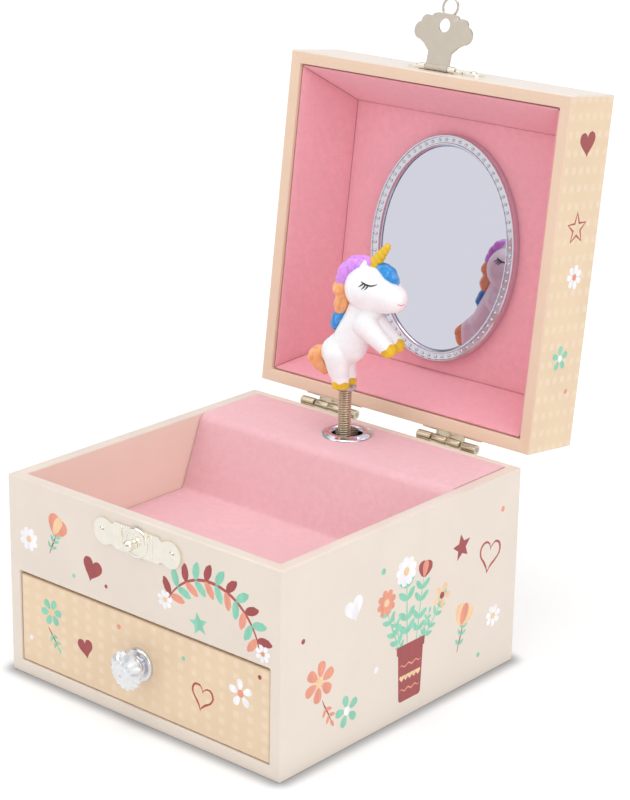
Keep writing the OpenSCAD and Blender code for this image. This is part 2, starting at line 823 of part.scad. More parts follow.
// Drum with three pins to each note, set out so that neighbours never line up
module pinned_cylinder() {
    color(brass) translate([post_x, post_y, drum_z]) difference() {
        union() {
            cylinder(h = drum_l, r = drum_r);
            for (i = [0:notes - 1], k = [0:2])
                translate([0, 0, 0.7 + (i + 0.5) * comb_pitch]) rotate([0, 90, (i * 83 + k * 127) % 360])
                    cylinder(h = drum_r + pin_h, r = pin_r, $fn = 16);
        }
        translate([0, 0, -cut]) cylinder(h = drum_l + 2 * cut, r = arbor_r + touch_gap);
    }
}

// Arbor with the pinion below the drum and the toothed wheel above it
module cylinder_arbor() {
    color(steel) translate([post_x, post_y, 0]) {
        translate([0, 0, pinion_z - pinion_t / 2 - 0.4])
            cylinder(h = ferrule_z + ferrule_l - pinion_z + pinion_t / 2 + 0.4, r = arbor_r);
        translate([0, 0, pinion_z - pinion_t / 2]) linear_extrude(pinion_t)
            polygon(wheel_points(pinion_teeth, pinion_r - 0.8, pinion_r + 0.45, tooth_w));
        translate([0, 0, wheel_z]) linear_extrude(wheel_t)
            polygon(wheel_points(wheel_teeth, wheel_r - 0.5, wheel_r + 0.35, 0.4));
    }
}

module post_ferrule() {
    color(brass) translate([post_x, post_y, ferrule_z]) difference() {
        union() {
            cylinder(h = 1, r = coil_r + 0.6);
            cylinder(h = ferrule_l, r = coil_in - touch_gap);
        }
        translate([0, 0, -cut]) cylinder(h = ferrule_l + 2 * cut, r = arbor_r + touch_gap);
    }
}

module spring_barrel() {
    y0 = crown_y + crown_add + 0.8;
    deep = plate_y - y0;
    color(brass) point_back([post_x, y0, axle_z]) difference() {
        union() {
            cylinder(h = deep, r = barrel_r);
            for (a = [45, 225]) rotate([0, 0, a]) translate([barrel_r - 0.4, -2, deep - 0.8])
                cube([3.4, 4, 0.8]);
        }
        translate([0, 0, 0.8]) cylinder(h = deep, r = barrel_r - 0.8);
        translate([0, 0, -cut]) cylinder(h = 2 + cut, r = arbor_d / 2 + fit_gap);
    }
}

// Flat coiled strip, 6 turns from the arbor out to the barrel
module mainspring() {
    turns = 6;
    steps = 20;
    r0 = arbor_d / 2 + 0.3;
    grow = barrel_r - 1.5 - r0;
    line = [for (i = [0:turns * steps]) let (a = 360 * i / steps, r = r0 + grow * i / (turns * steps))
        [r * cos(a), r * sin(a)]];
    edge = [for (i = [0:turns * steps]) let (a = 360 * i / steps, r = r0 + 0.35 + grow * i / (turns * steps))
        [r * cos(a), r * sin(a)]];
    y0 = crown_y + crown_add + 2;
    color(steel) point_back([post_x, y0, axle_z])
        linear_extrude(plate_y - y0 - 1) polygon(concat(line, reversed(edge)));
}

module winding_arbor() {
    y0 = crown_y - crown_ded - crown_web - 0.6;
    color(steel) point_back([post_x, y0, axle_z]) cylinder(h = half_d + arbor_out - y0, r = arbor_d / 2);
}

// Crown wheel: teeth stand on the rim of a disc and turn the drum's pinion
module great_wheel() {
    y0 = crown_y - crown_ded - crown_web;
    color(brass) point_back([post_x, y0, axle_z]) difference() {
        union() {
            cylinder(h = crown_web, r = crown_r + 1);
            cylinder(h = crown_web + 1, r = arbor_d / 2 + 1.6);
            for (i = [0:crown_teeth - 1]) rotate([0, 0, 90 + (i + 0.5) * 360 / crown_teeth])
                translate([crown_r - 1, -tooth_w / 2, crown_web - 0.3])
                    cube([2, tooth_w, crown_ded + crown_add + 0.3]);
        }
        translate([0, 0, -cut]) cylinder(h = 6 + cut, r = arbor_d / 2 + touch_gap);
        for (a = [0:72:288]) rotate([0, 0, a]) translate([crown_r * 0.56, 0, -cut])
            cylinder(h = crown_web + 2 * cut, r = 2);
    }
}

module winding_key() {
    y0 = half_d + key_gap;
    wing_r = 6;
    wing = key_w / 2 - wing_r;
    color(nickel) difference() {
        union() {
            point_back([post_x, y0, axle_z]) cylinder(h = 8.4, r = arbor_d / 2 + 1.1);
            translate([post_x, y0 + 9.4, axle_z - 0.9]) linear_extrude(1.8) difference() {
                union() {
                    for (s = [-1, 1]) translate([s * wing, 1.4]) circle(r = wing_r);
                    translate([-wing, -2.4]) square([2 * wing, wing_r]);
                }
                for (s = [-1, 1]) translate([s * (wing + 0.6), 1.4]) circle(r = 2.6);
            }
        }
        point_back([post_x, y0 - cut, axle_z])
            cylinder(h = arbor_out - key_gap + 0.2 + cut, r = arbor_d / 2 + touch_gap);
    }
}

// Bridge over the drum: top bearings, and two posts for the air brake's shaft
module governor_bracket() {
    top = bracket_z + bracket_t;
    color(brass) difference() {
        union() {
            block([post_x - 5, bracket_y0, bracket_z], [fly_x + 1.4, plate_y, top]);
            for (y = [bracket_y0, post_y + 4.4])
                block([fly_x - 1, y, top - 0.4], [fly_x + 1, y + 1, fly_z + 1.4]);
        }
        translate([post_x, post_y, bracket_z - cut])
            cylinder(h = bracket_t + 2 * cut, r = arbor_r + fit_gap);
        translate([gov_x, post_y, bracket_z - cut])
            cylinder(h = bracket_t + 2 * cut, r = 0.5 + fit_gap);
        point_back([fly_x, bracket_y0 - cut, fly_z]) cylinder(h = 14, r = 0.45 + fit_gap);
    }
}

module governor_wheel() {
    color(brass) translate([gov_x, post_y, 0]) {
        translate([0, 0, wheel_z - 0.4]) cylinder(h = fly_z + 1 - wheel_z + 0.4, r = 0.5);
        translate([0, 0, wheel_z + 0.1]) linear_extrude(wheel_t - 0.2)
            rotate([0, 0, 180 / gov_teeth])
                polygon(wheel_points(gov_teeth, gov_r - 0.55, gov_r + 0.3, 0.36));
        translate([0, 0, fly_z - 0.4]) linear_extrude(0.8)
            polygon(wheel_points(fly_teeth, fly_wheel_r - 0.4, fly_wheel_tip, 0.6));
    }
}

// Worm shaft with two broad vanes that beat the air
module governor_fly() {
    y0 = bracket_y0 - 4.2;
    color(steel) {
        point_back([fly_x, y0, fly_z]) cylinder(h = post_y + 5.8 - y0, r = 0.45);
        point_back([fly_x, post_y - 2.4, fly_z]) rotate_extrude() polygon(concat([[0, 0]],
            [for (i = [0:5], k = [0:2]) [k == 1 ? worm_r : worm_r - 0.3, i * 0.8 + k * 0.4]],
            [[0, 4.8]]));
        translate([fly_x - fly_r, y0 + 0.4, fly_z - 0.2]) cube([2 * fly_r, 3.2, 0.4]);
    }
}

// ---- Spring and figure ----

// Close-wound coils, n of them, from z up; a thin core joins them
module coil_stack(n, z) {
    color(steel) translate([post_x, post_y, z]) rotate_extrude() union() {
        for (i = [0:n - 1]) translate([coil_r - wire_d / 2, (i + 0.5) * pitch])
            circle(r = wire_d / 2, $fn = 24);
        translate([coil_in + 0.12, 0.04]) square([wire_d / 2 - 0.1, n * pitch - 0.08]);
    }
}

module spring_root() {
    turns = floor((root_z - ferrule_z - 1) / pitch);
    coil_stack(turns, root_z - turns * pitch);
}
module spring_1() coil_stack(coils, root_z);
module spring_2() coil_stack(coils, root_z + seg_h);
module spring_3() coil_stack(coils, root_z + 2 * seg_h);
module spring_4() coil_stack(coils, root_z + 3 * seg_h);
module spring_5() coil_stack(coils, root_z + 4 * seg_h);

module figure_disc() {
    color("#e6e6ee") translate([post_x, post_y, feet_z + disc_gap]) {
        cylinder(h = disc_t, r = disc_r);
        translate([0, 0, -2.2]) cylinder(h = 2.3, r = coil_in - 0.35);
    }
}

// Rounded limb between two balls
module limb(p, rp, q, rq) {
    hull() {
        translate(p) sphere(r = rp, $fn = 18);
        translate(q) sphere(r = rq, $fn = 18);
    }
}

// Rearing unicorn, 50 high, looking along +X with its hind hooves on z = 0
module unicorn() {
    color("white") translate([post_x, post_y, hoof_z]) rotate([0, 0, figure_turn])
        scale(figure_h / 50) {
            for (s = [-1, 1]) {
                limb([-2.6, s * 2.6, 12.5], 4.2, [-2.2, s * 3, 3.2], 2.9);
                translate([-1.9, s * 3, 0]) cylinder(h = 3.2, r1 = 3, r2 = 2.8, $fn = 24);
                limb([5, s * 3, 19.5], 3, [12, s * 3.4, 13.8], 2.3);
                limb([12, s * 3.4, 13.8], 2.3, [15.4, s * 3.5, 14.4], 2);
                limb([6.4, s * 5, 42.5], 1.2, [6, s * 6, 45.2], 0.4);
            }
            limb([-2.6, 0, 13.5], 5.4, [2.8, 0, 21], 5);
            limb([2.8, 0, 21], 5, [4.6, 0, 28], 4.2);
            limb([7.4, 0, 35.2], 8, [9.6, 0, 34.4], 7.4);
            limb([9.6, 0, 33.6], 6.8, [18, 0, 30.4], 4.4);
            limb([-1.2, 0, 40.8], 3, [4.2, 0, 44.6], 2.8);
            limb([-3.4, 0, 36], 2.8, [-3.6, 0, 31.2], 2.6);
            limb([-3.4, 0, 27.4], 2, [-4.2, 0, 23.8], 1.5);
            limb([12.6, -0.6, 41.2], 2.3, [16.4, -1.4, 37.4], 2.1);
            limb([-7.4, 0, 14.2], 2.6, [-9.8, 0, 10.4], 3.4);
            limb([-9.8, 0, 10.4], 3.4, [-6.4, 0, 5.6], 1);
            translate([9.4, 0, 41.8]) rotate([0, 28, 0]) cylinder(h = 9.3, r1 = 2.2, r2 = 0.4, $fn = 24);
        }
}

left_wall();
right_wall();
back_wall();
front_panel();
bottom_board();
bay_partition();
tray_board();
deck_cleats();
movement_cover();
tray_felt();
eyelet();
catch_plate();
catch_stud();
box_nails();
drawer_front();
drawer_sides();
drawer_back();
drawer_floor();
drawer_felt();
knob_base();
knob_crystal();
knob_screw();
lid_top_board();
lid_front_wall();
lid_back_wall();
lid_side_walls();
lid_lining();
mirror_frame();
mirror_glass();
hasp_plate();
hasp_pin();
lid_nails();
hasp_flap();
pull_ring();
box_hinge_leaves();
lid_hinge_leaves();
hinge_pins();
movement_plate();
movement_screws();
comb();
pinned_cylinder();
cylinder_arbor();
post_ferrule();
spring_barrel();
mainspring();
winding_arbor();
great_wheel();
winding_key();
governor_bracket();
governor_wheel();
governor_fly();
spring_root();
spring_1();
spring_2();
spring_3();
spring_4();
spring_5();
figure_disc();
unicorn();
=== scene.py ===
from math import atan2, copysign, cos, degrees, hypot, pi, radians, sin, sqrt, tau

import bmesh
import bpy
from bpy.props import FloatProperty, FloatVectorProperty, IntProperty, PointerProperty
from mathutils import Euler, Matrix, Vector, noise
from mathutils.bvhtree import BVHTree


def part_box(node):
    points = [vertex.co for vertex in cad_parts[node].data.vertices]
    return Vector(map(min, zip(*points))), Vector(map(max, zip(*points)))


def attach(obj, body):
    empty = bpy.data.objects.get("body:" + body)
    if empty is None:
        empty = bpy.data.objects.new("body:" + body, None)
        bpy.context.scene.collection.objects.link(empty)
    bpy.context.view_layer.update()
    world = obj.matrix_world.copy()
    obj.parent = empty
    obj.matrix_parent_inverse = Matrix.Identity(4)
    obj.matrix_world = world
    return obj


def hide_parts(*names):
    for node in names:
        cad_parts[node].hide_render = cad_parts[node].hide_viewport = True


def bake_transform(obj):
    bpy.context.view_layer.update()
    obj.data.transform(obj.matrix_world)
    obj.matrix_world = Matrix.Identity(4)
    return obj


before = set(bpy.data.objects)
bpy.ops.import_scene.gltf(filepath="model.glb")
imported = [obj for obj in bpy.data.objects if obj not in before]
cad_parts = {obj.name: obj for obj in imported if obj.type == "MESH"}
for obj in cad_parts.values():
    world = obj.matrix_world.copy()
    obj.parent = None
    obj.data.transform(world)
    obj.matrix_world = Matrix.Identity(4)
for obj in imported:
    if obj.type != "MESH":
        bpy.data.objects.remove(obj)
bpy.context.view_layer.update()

bl_info = {
    "name": "Musical Jewellery Box",
    "version": (1, 0, 0),
    "blender": (4, 5, 0),
    "location": "View3D > Sidebar > Jewellery Box",
    "description": "Papers, felt, fittings and figure of a musical jewellery box",
    "category": "Object",
}

MM = 0.001
PRINT_ROOM = 0.07 * MM  # left on each printed side for the ink, inside the size of the CAD
UP = Vector((0, 0, 1))
WHITE = (1, 1, 1, 1)


# ---- Settings ----


def srgb(*rgb):
    """A colour as a painter reads it, made linear for the shaders."""
    return tuple(((c / 255 + 0.055) / 1.055) ** 2.4 for c in rgb)


def colour(name, about, *rgb):
    return FloatVectorProperty(name=name, description=about, default=srgb(*rgb), subtype="COLOR", size=3, min=0, max=1)


def length(name, about, millimetres):
    return FloatProperty(name=name, description=about, default=millimetres * MM, unit="LENGTH", precision=5)


def power(name, about, watts):
    return FloatProperty(name=name, description=about, default=watts, unit="POWER")


class StageSettings(bpy.types.PropertyGroup):
    camera_place: FloatVectorProperty(
        name="Camera place", description="Where the camera stands", default=(0.46161, -0.51828, 0.33034),
        subtype="TRANSLATION", unit="LENGTH",
    )
    camera_turn: FloatVectorProperty(
        name="Camera turn", description="How the camera is turned",
        default=tuple(radians(a) for a in (71.2512, -0.9503, 40.7341)), subtype="EULER", unit="ROTATION",
    )
    lens: FloatProperty(name="Lens", description="Focal length in millimetres", default=101.04)
    sky: FloatProperty(name="Sky", description="Strength of the even light all round", default=0.88)
    key: power("Key lamp", "Power of the soft lamp at the front left", 1.9)
    fill: power("Fill lamp", "Power of the soft lamp at the right", 2.7)
    top: power("Top lamp", "Power of the soft lamp overhead", 5)
    floor: colour("Floor", "Colour of the floor", 246, 246, 247)


class PaperSettings(bpy.types.PropertyGroup):
    cream: colour("Cream paper", "Printed paper round the case", 232, 219, 206)
    inner: colour("Inner paper", "Plain paper inside the case", 238, 214, 200)
    tan: colour("Tan paper", "Ground of the checked paper", 234, 207, 174)
    tan_square: colour("Tan squares", "Soft squares on the checked paper", 239, 217, 190)
    tan_plain: colour("Plain tan", "Turned-in edge of the checked paper", 233, 203, 178)
    check_pitch: length("Check pitch", "Distance between columns of squares", 5.9)
    check_square: length("Check square", "Side of one soft square", 2.4)
    edge: length("Edge rounding", "Radius of a paper-wrapped edge", 0.45)


class FeltSettings(bpy.types.PropertyGroup):
    tray: colour("Tray felt", "Felt in the tray and drawer", 237, 188, 195)
    lid: colour("Lid felt", "Felt in the lid", 241, 170, 181)
    crease: length("Lining crease", "Radius of the lining boards' edges", 0.14)
    wave: length("Felt wave", "How far the felt rises and falls", 0.07)


class MetalSettings(bpy.types.PropertyGroup):
    chrome: colour("Chrome", "Bright plate on the knob and eyelet", 224, 226, 232)
    nickel: colour("Pale nickel", "Plate on the catch, hasp plate and key", 248, 243, 230)
    hinge: colour("Hinge plate", "Plate on the hinges", 212, 200, 176)
    matt: colour("Matt nickel", "Plate on the hasp", 212, 202, 188)
    steel: colour("Steel", "Plain steel pins, screws and springs", 172, 168, 162)
    coil: colour("Coil wire", "Spring under the figure", 212, 198, 172)
    brass: colour("Brass", "Turned and cut brass in the movement", 214, 178, 104)
    cast: colour("Cast plate", "Die-cast frame of the movement", 196, 192, 184)
    bevel: length("Stamped edge", "Radius of a stamped metal edge", 0.12)


class MirrorSettings(bpy.types.PropertyGroup):
    beads: IntProperty(name="Beads", description="How many beads stand round the frame", default=72, min=12)
    bead: length("Bead radius", "Radius of one bead", 0.62)
    glass: colour("Glass", "Tint of the mirror", 216, 216, 228)
    trim: colour("Trim", "Plated moulding round the mirror", 214, 216, 224)


class FigureSettings(bpy.types.PropertyGroup):
    white: colour("White vinyl", "Body of the unicorn", 249, 251, 255)
    gold: colour("Gold paint", "Horn and hooves", 232, 190, 20)
    purple: colour("Purple paint", "Mane over the crown", 222, 148, 250)
    orange: colour("Orange paint", "Mane at the neck, and the tail", 252, 178, 116)
    blue: colour("Blue paint", "Forelock and lowest lock", 24, 146, 224)
    line: colour("Eye line", "Lashes", 40, 30, 42)
    mouth: colour("Mouth", "Mouth line", 240, 130, 140)
    voxel: length("Sculpt grain", "Size of the sculpting grain", 0.32)
    turn: FloatProperty(name="Figure turn", description="Heading of the figure", default=radians(14), unit="ROTATION")


class PrintSettings(bpy.types.PropertyGroup):
    red: colour("Red ink", "Deep red of the print", 160, 60, 62)
    mint: colour("Mint ink", "Green of the print", 134, 206, 178)
    white: colour("White ink", "White of the print", 246, 244, 248)
    coral: colour("Coral ink", "Coral of the print", 232, 150, 124)
    peach: colour("Peach ink", "Peach of the print", 244, 204, 160)
    line: colour("Line ink", "Thin outlines of the print", 176, 74, 68)
    ink: length("Ink layer", "How far the print stands on the paper", 0.03)


class BoxSettings(bpy.types.PropertyGroup):
    stage: PointerProperty(type=StageSettings)
    paper: PointerProperty(type=PaperSettings)
    felt: PointerProperty(type=FeltSettings)
    metal: PointerProperty(type=MetalSettings)
    mirror: PointerProperty(type=MirrorSettings)
    figure: PointerProperty(type=FigureSettings)
    print: PointerProperty(type=PrintSettings)


# ---- Places, most of them taken from the frame ----


def middle(node):
    """Centre of a CAD node's box."""
    low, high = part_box(node)
    return (low + high) / 2


def shift(x, y, z):
    """Matrix that moves by millimetres."""
    return Matrix.Translation(Vector((x, y, z)) * MM)


def spun(angle, axis):
    """Matrix that turns by degrees."""
    return Matrix.Rotation(radians(angle), 4, axis)


def face_frame(origin, along, up=UP):
    """Matrix that puts a flat drawing on a face: its X runs along, its Y up, its Z out."""
    along, up = Vector(along).normalized(), Vector(up).normalized()
    return Matrix.Translation(Vector(origin)) @ Matrix((along, up, along.cross(up))).transposed().to_4x4()


CASE_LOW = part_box("left_wall")[0] + Vector((PRINT_ROOM, 0, 0))
CASE_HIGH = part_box("right_wall")[1] - Vector((PRINT_ROOM, 0, 0))
IN_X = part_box("right_wall")[0].x
FRONT_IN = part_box("front_panel")[1].y
BACK_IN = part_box("back_wall")[0].y
FLOOR_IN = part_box("bottom_board")[1].z
BAY_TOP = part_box("front_panel")[0].z
HINGE = middle("hinge_pins")
LID = Matrix.Translation(HINGE) @ spun(-97, "X") @ Matrix.Translation(-HINGE)  # from shut to open
LID_Z0, LID_Z1 = 70.3 * MM, 95.3 * MM
HASP = LID @ shift(0, -61.2, 76.7) @ spun(83, "X")
DISC_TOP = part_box("figure_disc")[1].z
POST = Vector((*middle("figure_disc").xy, DISC_TOP))
FRONT = face_frame((0, CASE_LOW.y, 0), (1, 0, 0))
RIGHT = face_frame((CASE_HIGH.x, 0, 0), (0, 1, 0))
LEFT = face_frame((CASE_LOW.x, 0, 0), (0, -1, 0))
BACK = face_frame((0, CASE_HIGH.y, 0), (-1, 0, 0))
LID_TOP = face_frame((0, 0, LID_Z1), (1, 0, 0), (0, 1, 0))


# ---- Mesh helpers ----


def bare(name, bm, finish=None):
    """Makes a smooth object of a mesh in the making."""
    mesh = bpy.data.meshes.new(name)
    bm.to_mesh(mesh)
    bm.free()
    mesh.shade_smooth()
    if finish:
        mesh.materials.append(finish)
    made = bpy.data.objects.new(name, mesh)
    bpy.context.scene.collection.objects.link(made)
    return made


def piece(name, bm, finish=None, smooth=40, place=None, merge=1e-7):
    """Closes a mesh, turns it outward and makes it an object; edges sharper than smooth degrees stay sharp."""
    if place is not None:
        bmesh.ops.transform(bm, matrix=place, verts=bm.verts)
    bmesh.ops.remove_doubles(bm, verts=bm.verts, dist=merge)
    bmesh.ops.recalc_face_normals(bm, faces=bm.faces)
    made = bare(name, bm, finish)
    made.data.set_sharp_from_angle(angle=radians(smooth))
    return made


def stand_for(made, body, slot, *nodes):
    """Lets a finished piece ride on a body, in place of CAD nodes if any are named."""
    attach(made, body)
    if nodes:
        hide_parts(*nodes)
    return made


def settle(made):
    """Works a piece's modifiers into its mesh."""
    bpy.context.view_layer.update()
    graph = bpy.context.evaluated_depsgraph_get()
    mesh = bpy.data.meshes.new_from_object(made.evaluated_get(graph))
    made.modifiers.clear()
    made.data = mesh
    return made


def soften(made, width, segments=2, angle=35):
    """Rounds a piece's sharp edges."""
    bevel = made.modifiers.new("soft_edges", "BEVEL")
    bevel.width, bevel.segments = width, segments
    bevel.limit_method, bevel.angle_limit = "ANGLE", radians(angle)
    bevel.miter_outer = "MITER_ARC"
    return settle(made)


def thicken(made, thickness):
    """Gives a sheet its thickness, downwards from its face."""
    wall = made.modifiers.new("thickness", "SOLIDIFY")
    wall.thickness, wall.offset = thickness, -1
    return settle(made)


def carve(made, cutter):
    """Cuts a closed mesh out of a piece."""
    knife = piece("knife", cutter)
    cut = made.modifiers.new("cut", "BOOLEAN")
    cut.operation, cut.solver, cut.object = "DIFFERENCE", "EXACT", knife
    settle(made)
    bpy.data.objects.remove(knife)


def block(low, high):
    """A mesh in the making that holds a block between two corners."""
    bm, low, high = bmesh.new(), Vector(low), Vector(high)
    size = Matrix.Diagonal((high - low).to_4d())
    bmesh.ops.create_cube(bm, size=1, matrix=Matrix.Translation((low + high) / 2) @ size)
    return bm


def hollow(name, low, high, *cuts):
    """A block with other blocks cut out of it."""
    made = piece(name, block(low, high))
    for corners in cuts:
        carve(made, block(*corners))
    return made


def cone(bm, start, end, depth, place, segments=32):
    """Adds a capped cone or cylinder along Z."""
    bmesh.ops.create_cone(
        bm, cap_ends=True, segments=segments, radius1=start, radius2=end, depth=depth, matrix=place
    )


def drill(made, radius, place, segments):
    """Cuts a round hole right through a wall or sheet."""
    bm = bmesh.new()
    cone(bm, radius, radius, 12 * MM, place, segments)
    carve(made, bm)


def verts_of(items):
    return [item for item in items if isinstance(item, bmesh.types.BMVert)]


def edges_of(verts):
    return list({e for v in verts for e in v.link_edges})


def polyline(bm, points):
    """Adds a run of edges through points."""
    verts = [bm.verts.new(point) for point in points]
    return verts, [bm.edges.new(pair) for pair in zip(verts, verts[1:])]


def refine(bm, longest):
    """Halves the edges that are longer than asked, up to five times."""
    for _ in range(5):
        wide = [e for e in bm.edges if e.calc_length() > longest]
        if wide:
            bmesh.ops.subdivide_edges(bm, edges=wide, cuts=1, use_grid_fill=True)


def ripple(verts, amount, size, axis):
    """Moves points along an axis by a gentle wave that repeats the same way every time."""
    for vert in verts:
        vert.co += Vector(axis) * amount * noise.noise(vert.co / size)


def grow(seeds):
    """All vertices joined by edges to the given ones."""
    found, rim = set(seeds), list(seeds)
    while rim:
        vert = rim.pop()
        for other in (link.other_vert(vert) for link in vert.link_edges):
            if other not in found:
                found.add(other)
                rim.append(other)
    return found


def lathe(bm, profile, steps=48, place=None):
    """Turns a profile of (radius, height) points, in millimetres, round Z."""
    verts, edges = polyline(bm, [(r * MM, 0, z * MM) for r, z in profile])
    made = bmesh.ops.spin(
        bm, geom=verts + edges, cent=(0, 0, 0), axis=UP, dvec=(0, 0, 0), angle=tau, steps=steps,
        use_merge=True, use_normal_flip=False, use_duplicate=False,
    )
    island = grow(set(verts) | set(verts_of(made["geom_last"])))
    bmesh.ops.remove_doubles(bm, verts=list(island), dist=1e-7)
    island = grow([v for v in island if v.is_valid])
    if place is not None:
        bmesh.ops.transform(bm, matrix=place, verts=list(island))
    return island


def turned(name, profile, steps, place, finish, smooth, body, slot, node):
    """Turns a piece on the lathe, in place of a CAD node."""
    bm = bmesh.new()
    lathe(bm, profile, steps, place)
    return stand_for(piece(name, bm, finish, smooth), body, slot, node)


def arc(cx, cz, radius, first, last, steps):
    """Points of an arc, in millimetres and degrees."""
    turns = [radians(first + (last - first) * i / steps) for i in range(steps + 1)]
    return [(cx + radius * cos(a), cz + radius * sin(a)) for a in turns]


def cad_copy(*nodes):
    """A copy of CAD nodes with loose triangles joined and flat faces made whole."""
    bm = bmesh.new()
    for name in nodes:
        bm.from_mesh(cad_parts[name].data)
    bmesh.ops.remove_doubles(bm, verts=bm.verts, dist=3e-6)
    bmesh.ops.dissolve_limit(
        bm, angle_limit=radians(0.8), use_dissolve_boundaries=False, verts=bm.verts, edges=bm.edges
    )
    return bm


def stamped(name, finish, body, slot, node, width, angle=30):
    """Takes a sheet-metal piece from the frame and rounds its stamped edges."""
    made = piece(name, cad_copy(node), finish, 30)
    stand_for(soften(made, width, 2, angle), body, slot, node)


def dress(finish, *nodes):
    """Gives CAD nodes that stay as they are a better finish."""
    for name in nodes:
        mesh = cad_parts[name].data
        mesh.materials.clear()
        mesh.materials.append(finish)


# ---- Finishes ----


def tone(rgb, share=1):
    """A colour made darker (share below 1) or lighter (above 1)."""
    return (*(min(1, max(0, c * share)) for c in rgb), 1)


class Shading:
    """A shader tree in the making."""

    def __init__(self, tree):
        self.tree = tree
        tree.nodes.clear()
        self.coords = self.add("TexCoord").outputs

    def fill(self, socket, value):
        """Links a socket, or gives it a constant."""
        if isinstance(value, bpy.types.NodeSocket):
            self.tree.links.new(value, socket)
        else:
            socket.default_value = value

    def add(self, kind, inputs=None, **values):
        """Adds a node; values set its properties, and inputs fills its sockets."""
        made = self.tree.nodes.new("ShaderNode" + kind)
        for key, value in values.items():
            setattr(made, key, value)
        for key, value in (inputs or {}).items():
            self.fill(made.inputs[key], value)
        return made

    def sums(self, operation, a, b=0, c=0):
        return self.add("Math", {0: a, 1: b, 2: c}, operation=operation).outputs[0]

    def times(self, a, b, more=None):
        """a times b, with more added if it is given."""
        return self.sums("MULTIPLY", a, b) if more is None else self.sums("MULTIPLY_ADD", a, b, more)

    def blend(self, share, first, second):
        return self.add("Mix", {0: share, 6: first, 7: second}, data_type="RGBA").outputs[2]

    def mix(self, share, first, second):
        """Mixes two shaders."""
        return self.add("MixShader", {0: share, 1: first.outputs[0], 2: second.outputs[0]})

    def grain(self, scale, detail=2, roughness=0.5, stretch=None):
        """Noise on a piece's own coordinates; scale is how many features to a metre."""
        where = self.coords["Object"]
        if stretch:
            where = self.add("Mapping", {"Vector": where, "Scale": stretch}).outputs[0]
        noisy = self.add("TexNoise", {"Vector": where, "Scale": scale, "Detail": detail, "Roughness": roughness})
        return noisy.outputs["Fac"]

    def ramp(self, value, low, high, to_low=0, to_high=1):
        return self.add(
            "MapRange", {"Value": value, "From Min": low, "From Max": high, "To Min": to_low, "To Max": to_high},
            interpolation_type="SMOOTHSTEP",
        ).outputs[0]

    def mottle(self, cloud, rgb, dark, light=1):
        """A colour that a noise makes a little darker and lighter."""
        return self.blend(self.ramp(cloud, 0.3, 0.7), tone(rgb, dark), tone(rgb, light))


class Finish(Shading):
    """A material in the making, with the constants of its shader."""

    def __init__(self, name, **sockets):
        self.made = bpy.data.materials.new(name)
        self.made.use_nodes = True
        super().__init__(self.made.node_tree)
        named = {key.replace("_", " ").title().replace("Ior", "IOR"): value for key, value in sockets.items()}
        self.shader = self.add("BsdfPrincipled", named)
        self.out = self.add("OutputMaterial", {0: self.shader.outputs[0]})

    def done(self, base, rough=None, height=None, distance=0, strength=1):
        """Links the colour, the roughness and the relief, and hands over the material."""
        self.fill(self.shader.inputs["Base Color"], base)
        if rough:
            self.fill(self.shader.inputs["Roughness"], rough)
        if height:
            bump = self.add("Bump", {"Height": height, "Strength": strength, "Distance": distance})
            self.fill(self.shader.inputs["Normal"], bump.outputs[0])
        return self.made


def recipe(**sockets):
    """Makes a function that lays nodes into a maker of materials, which makes each name once."""
    def wrap(lay):
        kept = {}

        def get(name, *args):
            if name not in kept:
                kept[name] = lay(Finish(name, **sockets), *args)
            return kept[name]

        return get

    return wrap


GLOSS = {"coat_weight": 0.35, "coat_roughness": 0.12, "coat_ior": 1.45}


def fibrous(made, cloud, base, speck):
    """Lays paper's fibre, satin and relief over its colour."""
    fibre = made.grain(2600, 3, 0.6)
    base = made.blend(made.ramp(fibre, 0.35, 0.75, 0, 0.3), base, speck)
    height = made.times(made.grain(160, 2), 0.35, made.times(fibre, 0.22))
    return made.done(base, made.ramp(cloud, 0.25, 0.75, 0.3, 0.42), height, 0.00008, 0.5)


@recipe(**GLOSS)
def paper(made, rgb):
    """Satin printed paper: faint mottling, fibre grain and a thin gloss coat."""
    cloud = made.grain(45, 3, 0.55)
    return fibrous(made, cloud, made.mottle(cloud, rgb, 0.975, 1.012), tone(rgb, 0.93))


@recipe(**GLOSS)
def checked_paper(made, look):
    """Tan paper with columns of soft pale squares, laid out on the piece's own flat map."""
    flat = made.add("SeparateXYZ", {0: made.coords["UV"]})
    inside = []
    for i, step in ((0, look.check_pitch), (1, 0.72 * look.check_pitch)):
        off = made.sums("PINGPONG", made.sums("DIVIDE", flat.outputs[i], step), 0.5)
        half = look.check_square / step / 2
        inside.append(made.ramp(off, half + 0.09, half - 0.11))
    worn = made.ramp(made.grain(420, 3, 0.6), 0.25, 0.7, 0.35, 1)
    mask = made.times(made.times(*inside), worn)
    cloud = made.grain(60, 3)
    base = made.blend(mask, made.mottle(cloud, look.tan, 0.96, 1.02), tone(look.tan_square))
    return fibrous(made, cloud, base, tone(look.tan, 0.92))


@recipe(roughness=0.95, specular_ior_level=0.15, sheen_weight=0.3, sheen_roughness=0.45)
def felt(made, rgb):
    """Short flocked felt: matted clumps, single fibres, a soft sheen."""
    clump, cloud, hair = made.grain(420, 4, 0.62), made.grain(55, 2), made.grain(3600, 4, 0.7)
    base = made.blend(made.ramp(clump, 0.3, 0.72), tone(rgb, 0.95), tone(rgb, 1.03))
    for value, low, high, most, share in (
        (cloud, 0.3, 0.7, 0.5, 0.95), (hair, 0.5, 0.75, 0.45, 1.16), (hair, 0.48, 0.3, 0.4, 0.72),
    ):
        base = made.blend(made.ramp(value, low, high, 0, most), base, tone(rgb, share))
    return made.done(base, None, made.times(clump, 0.45, hair), 0.00014, 0.5)


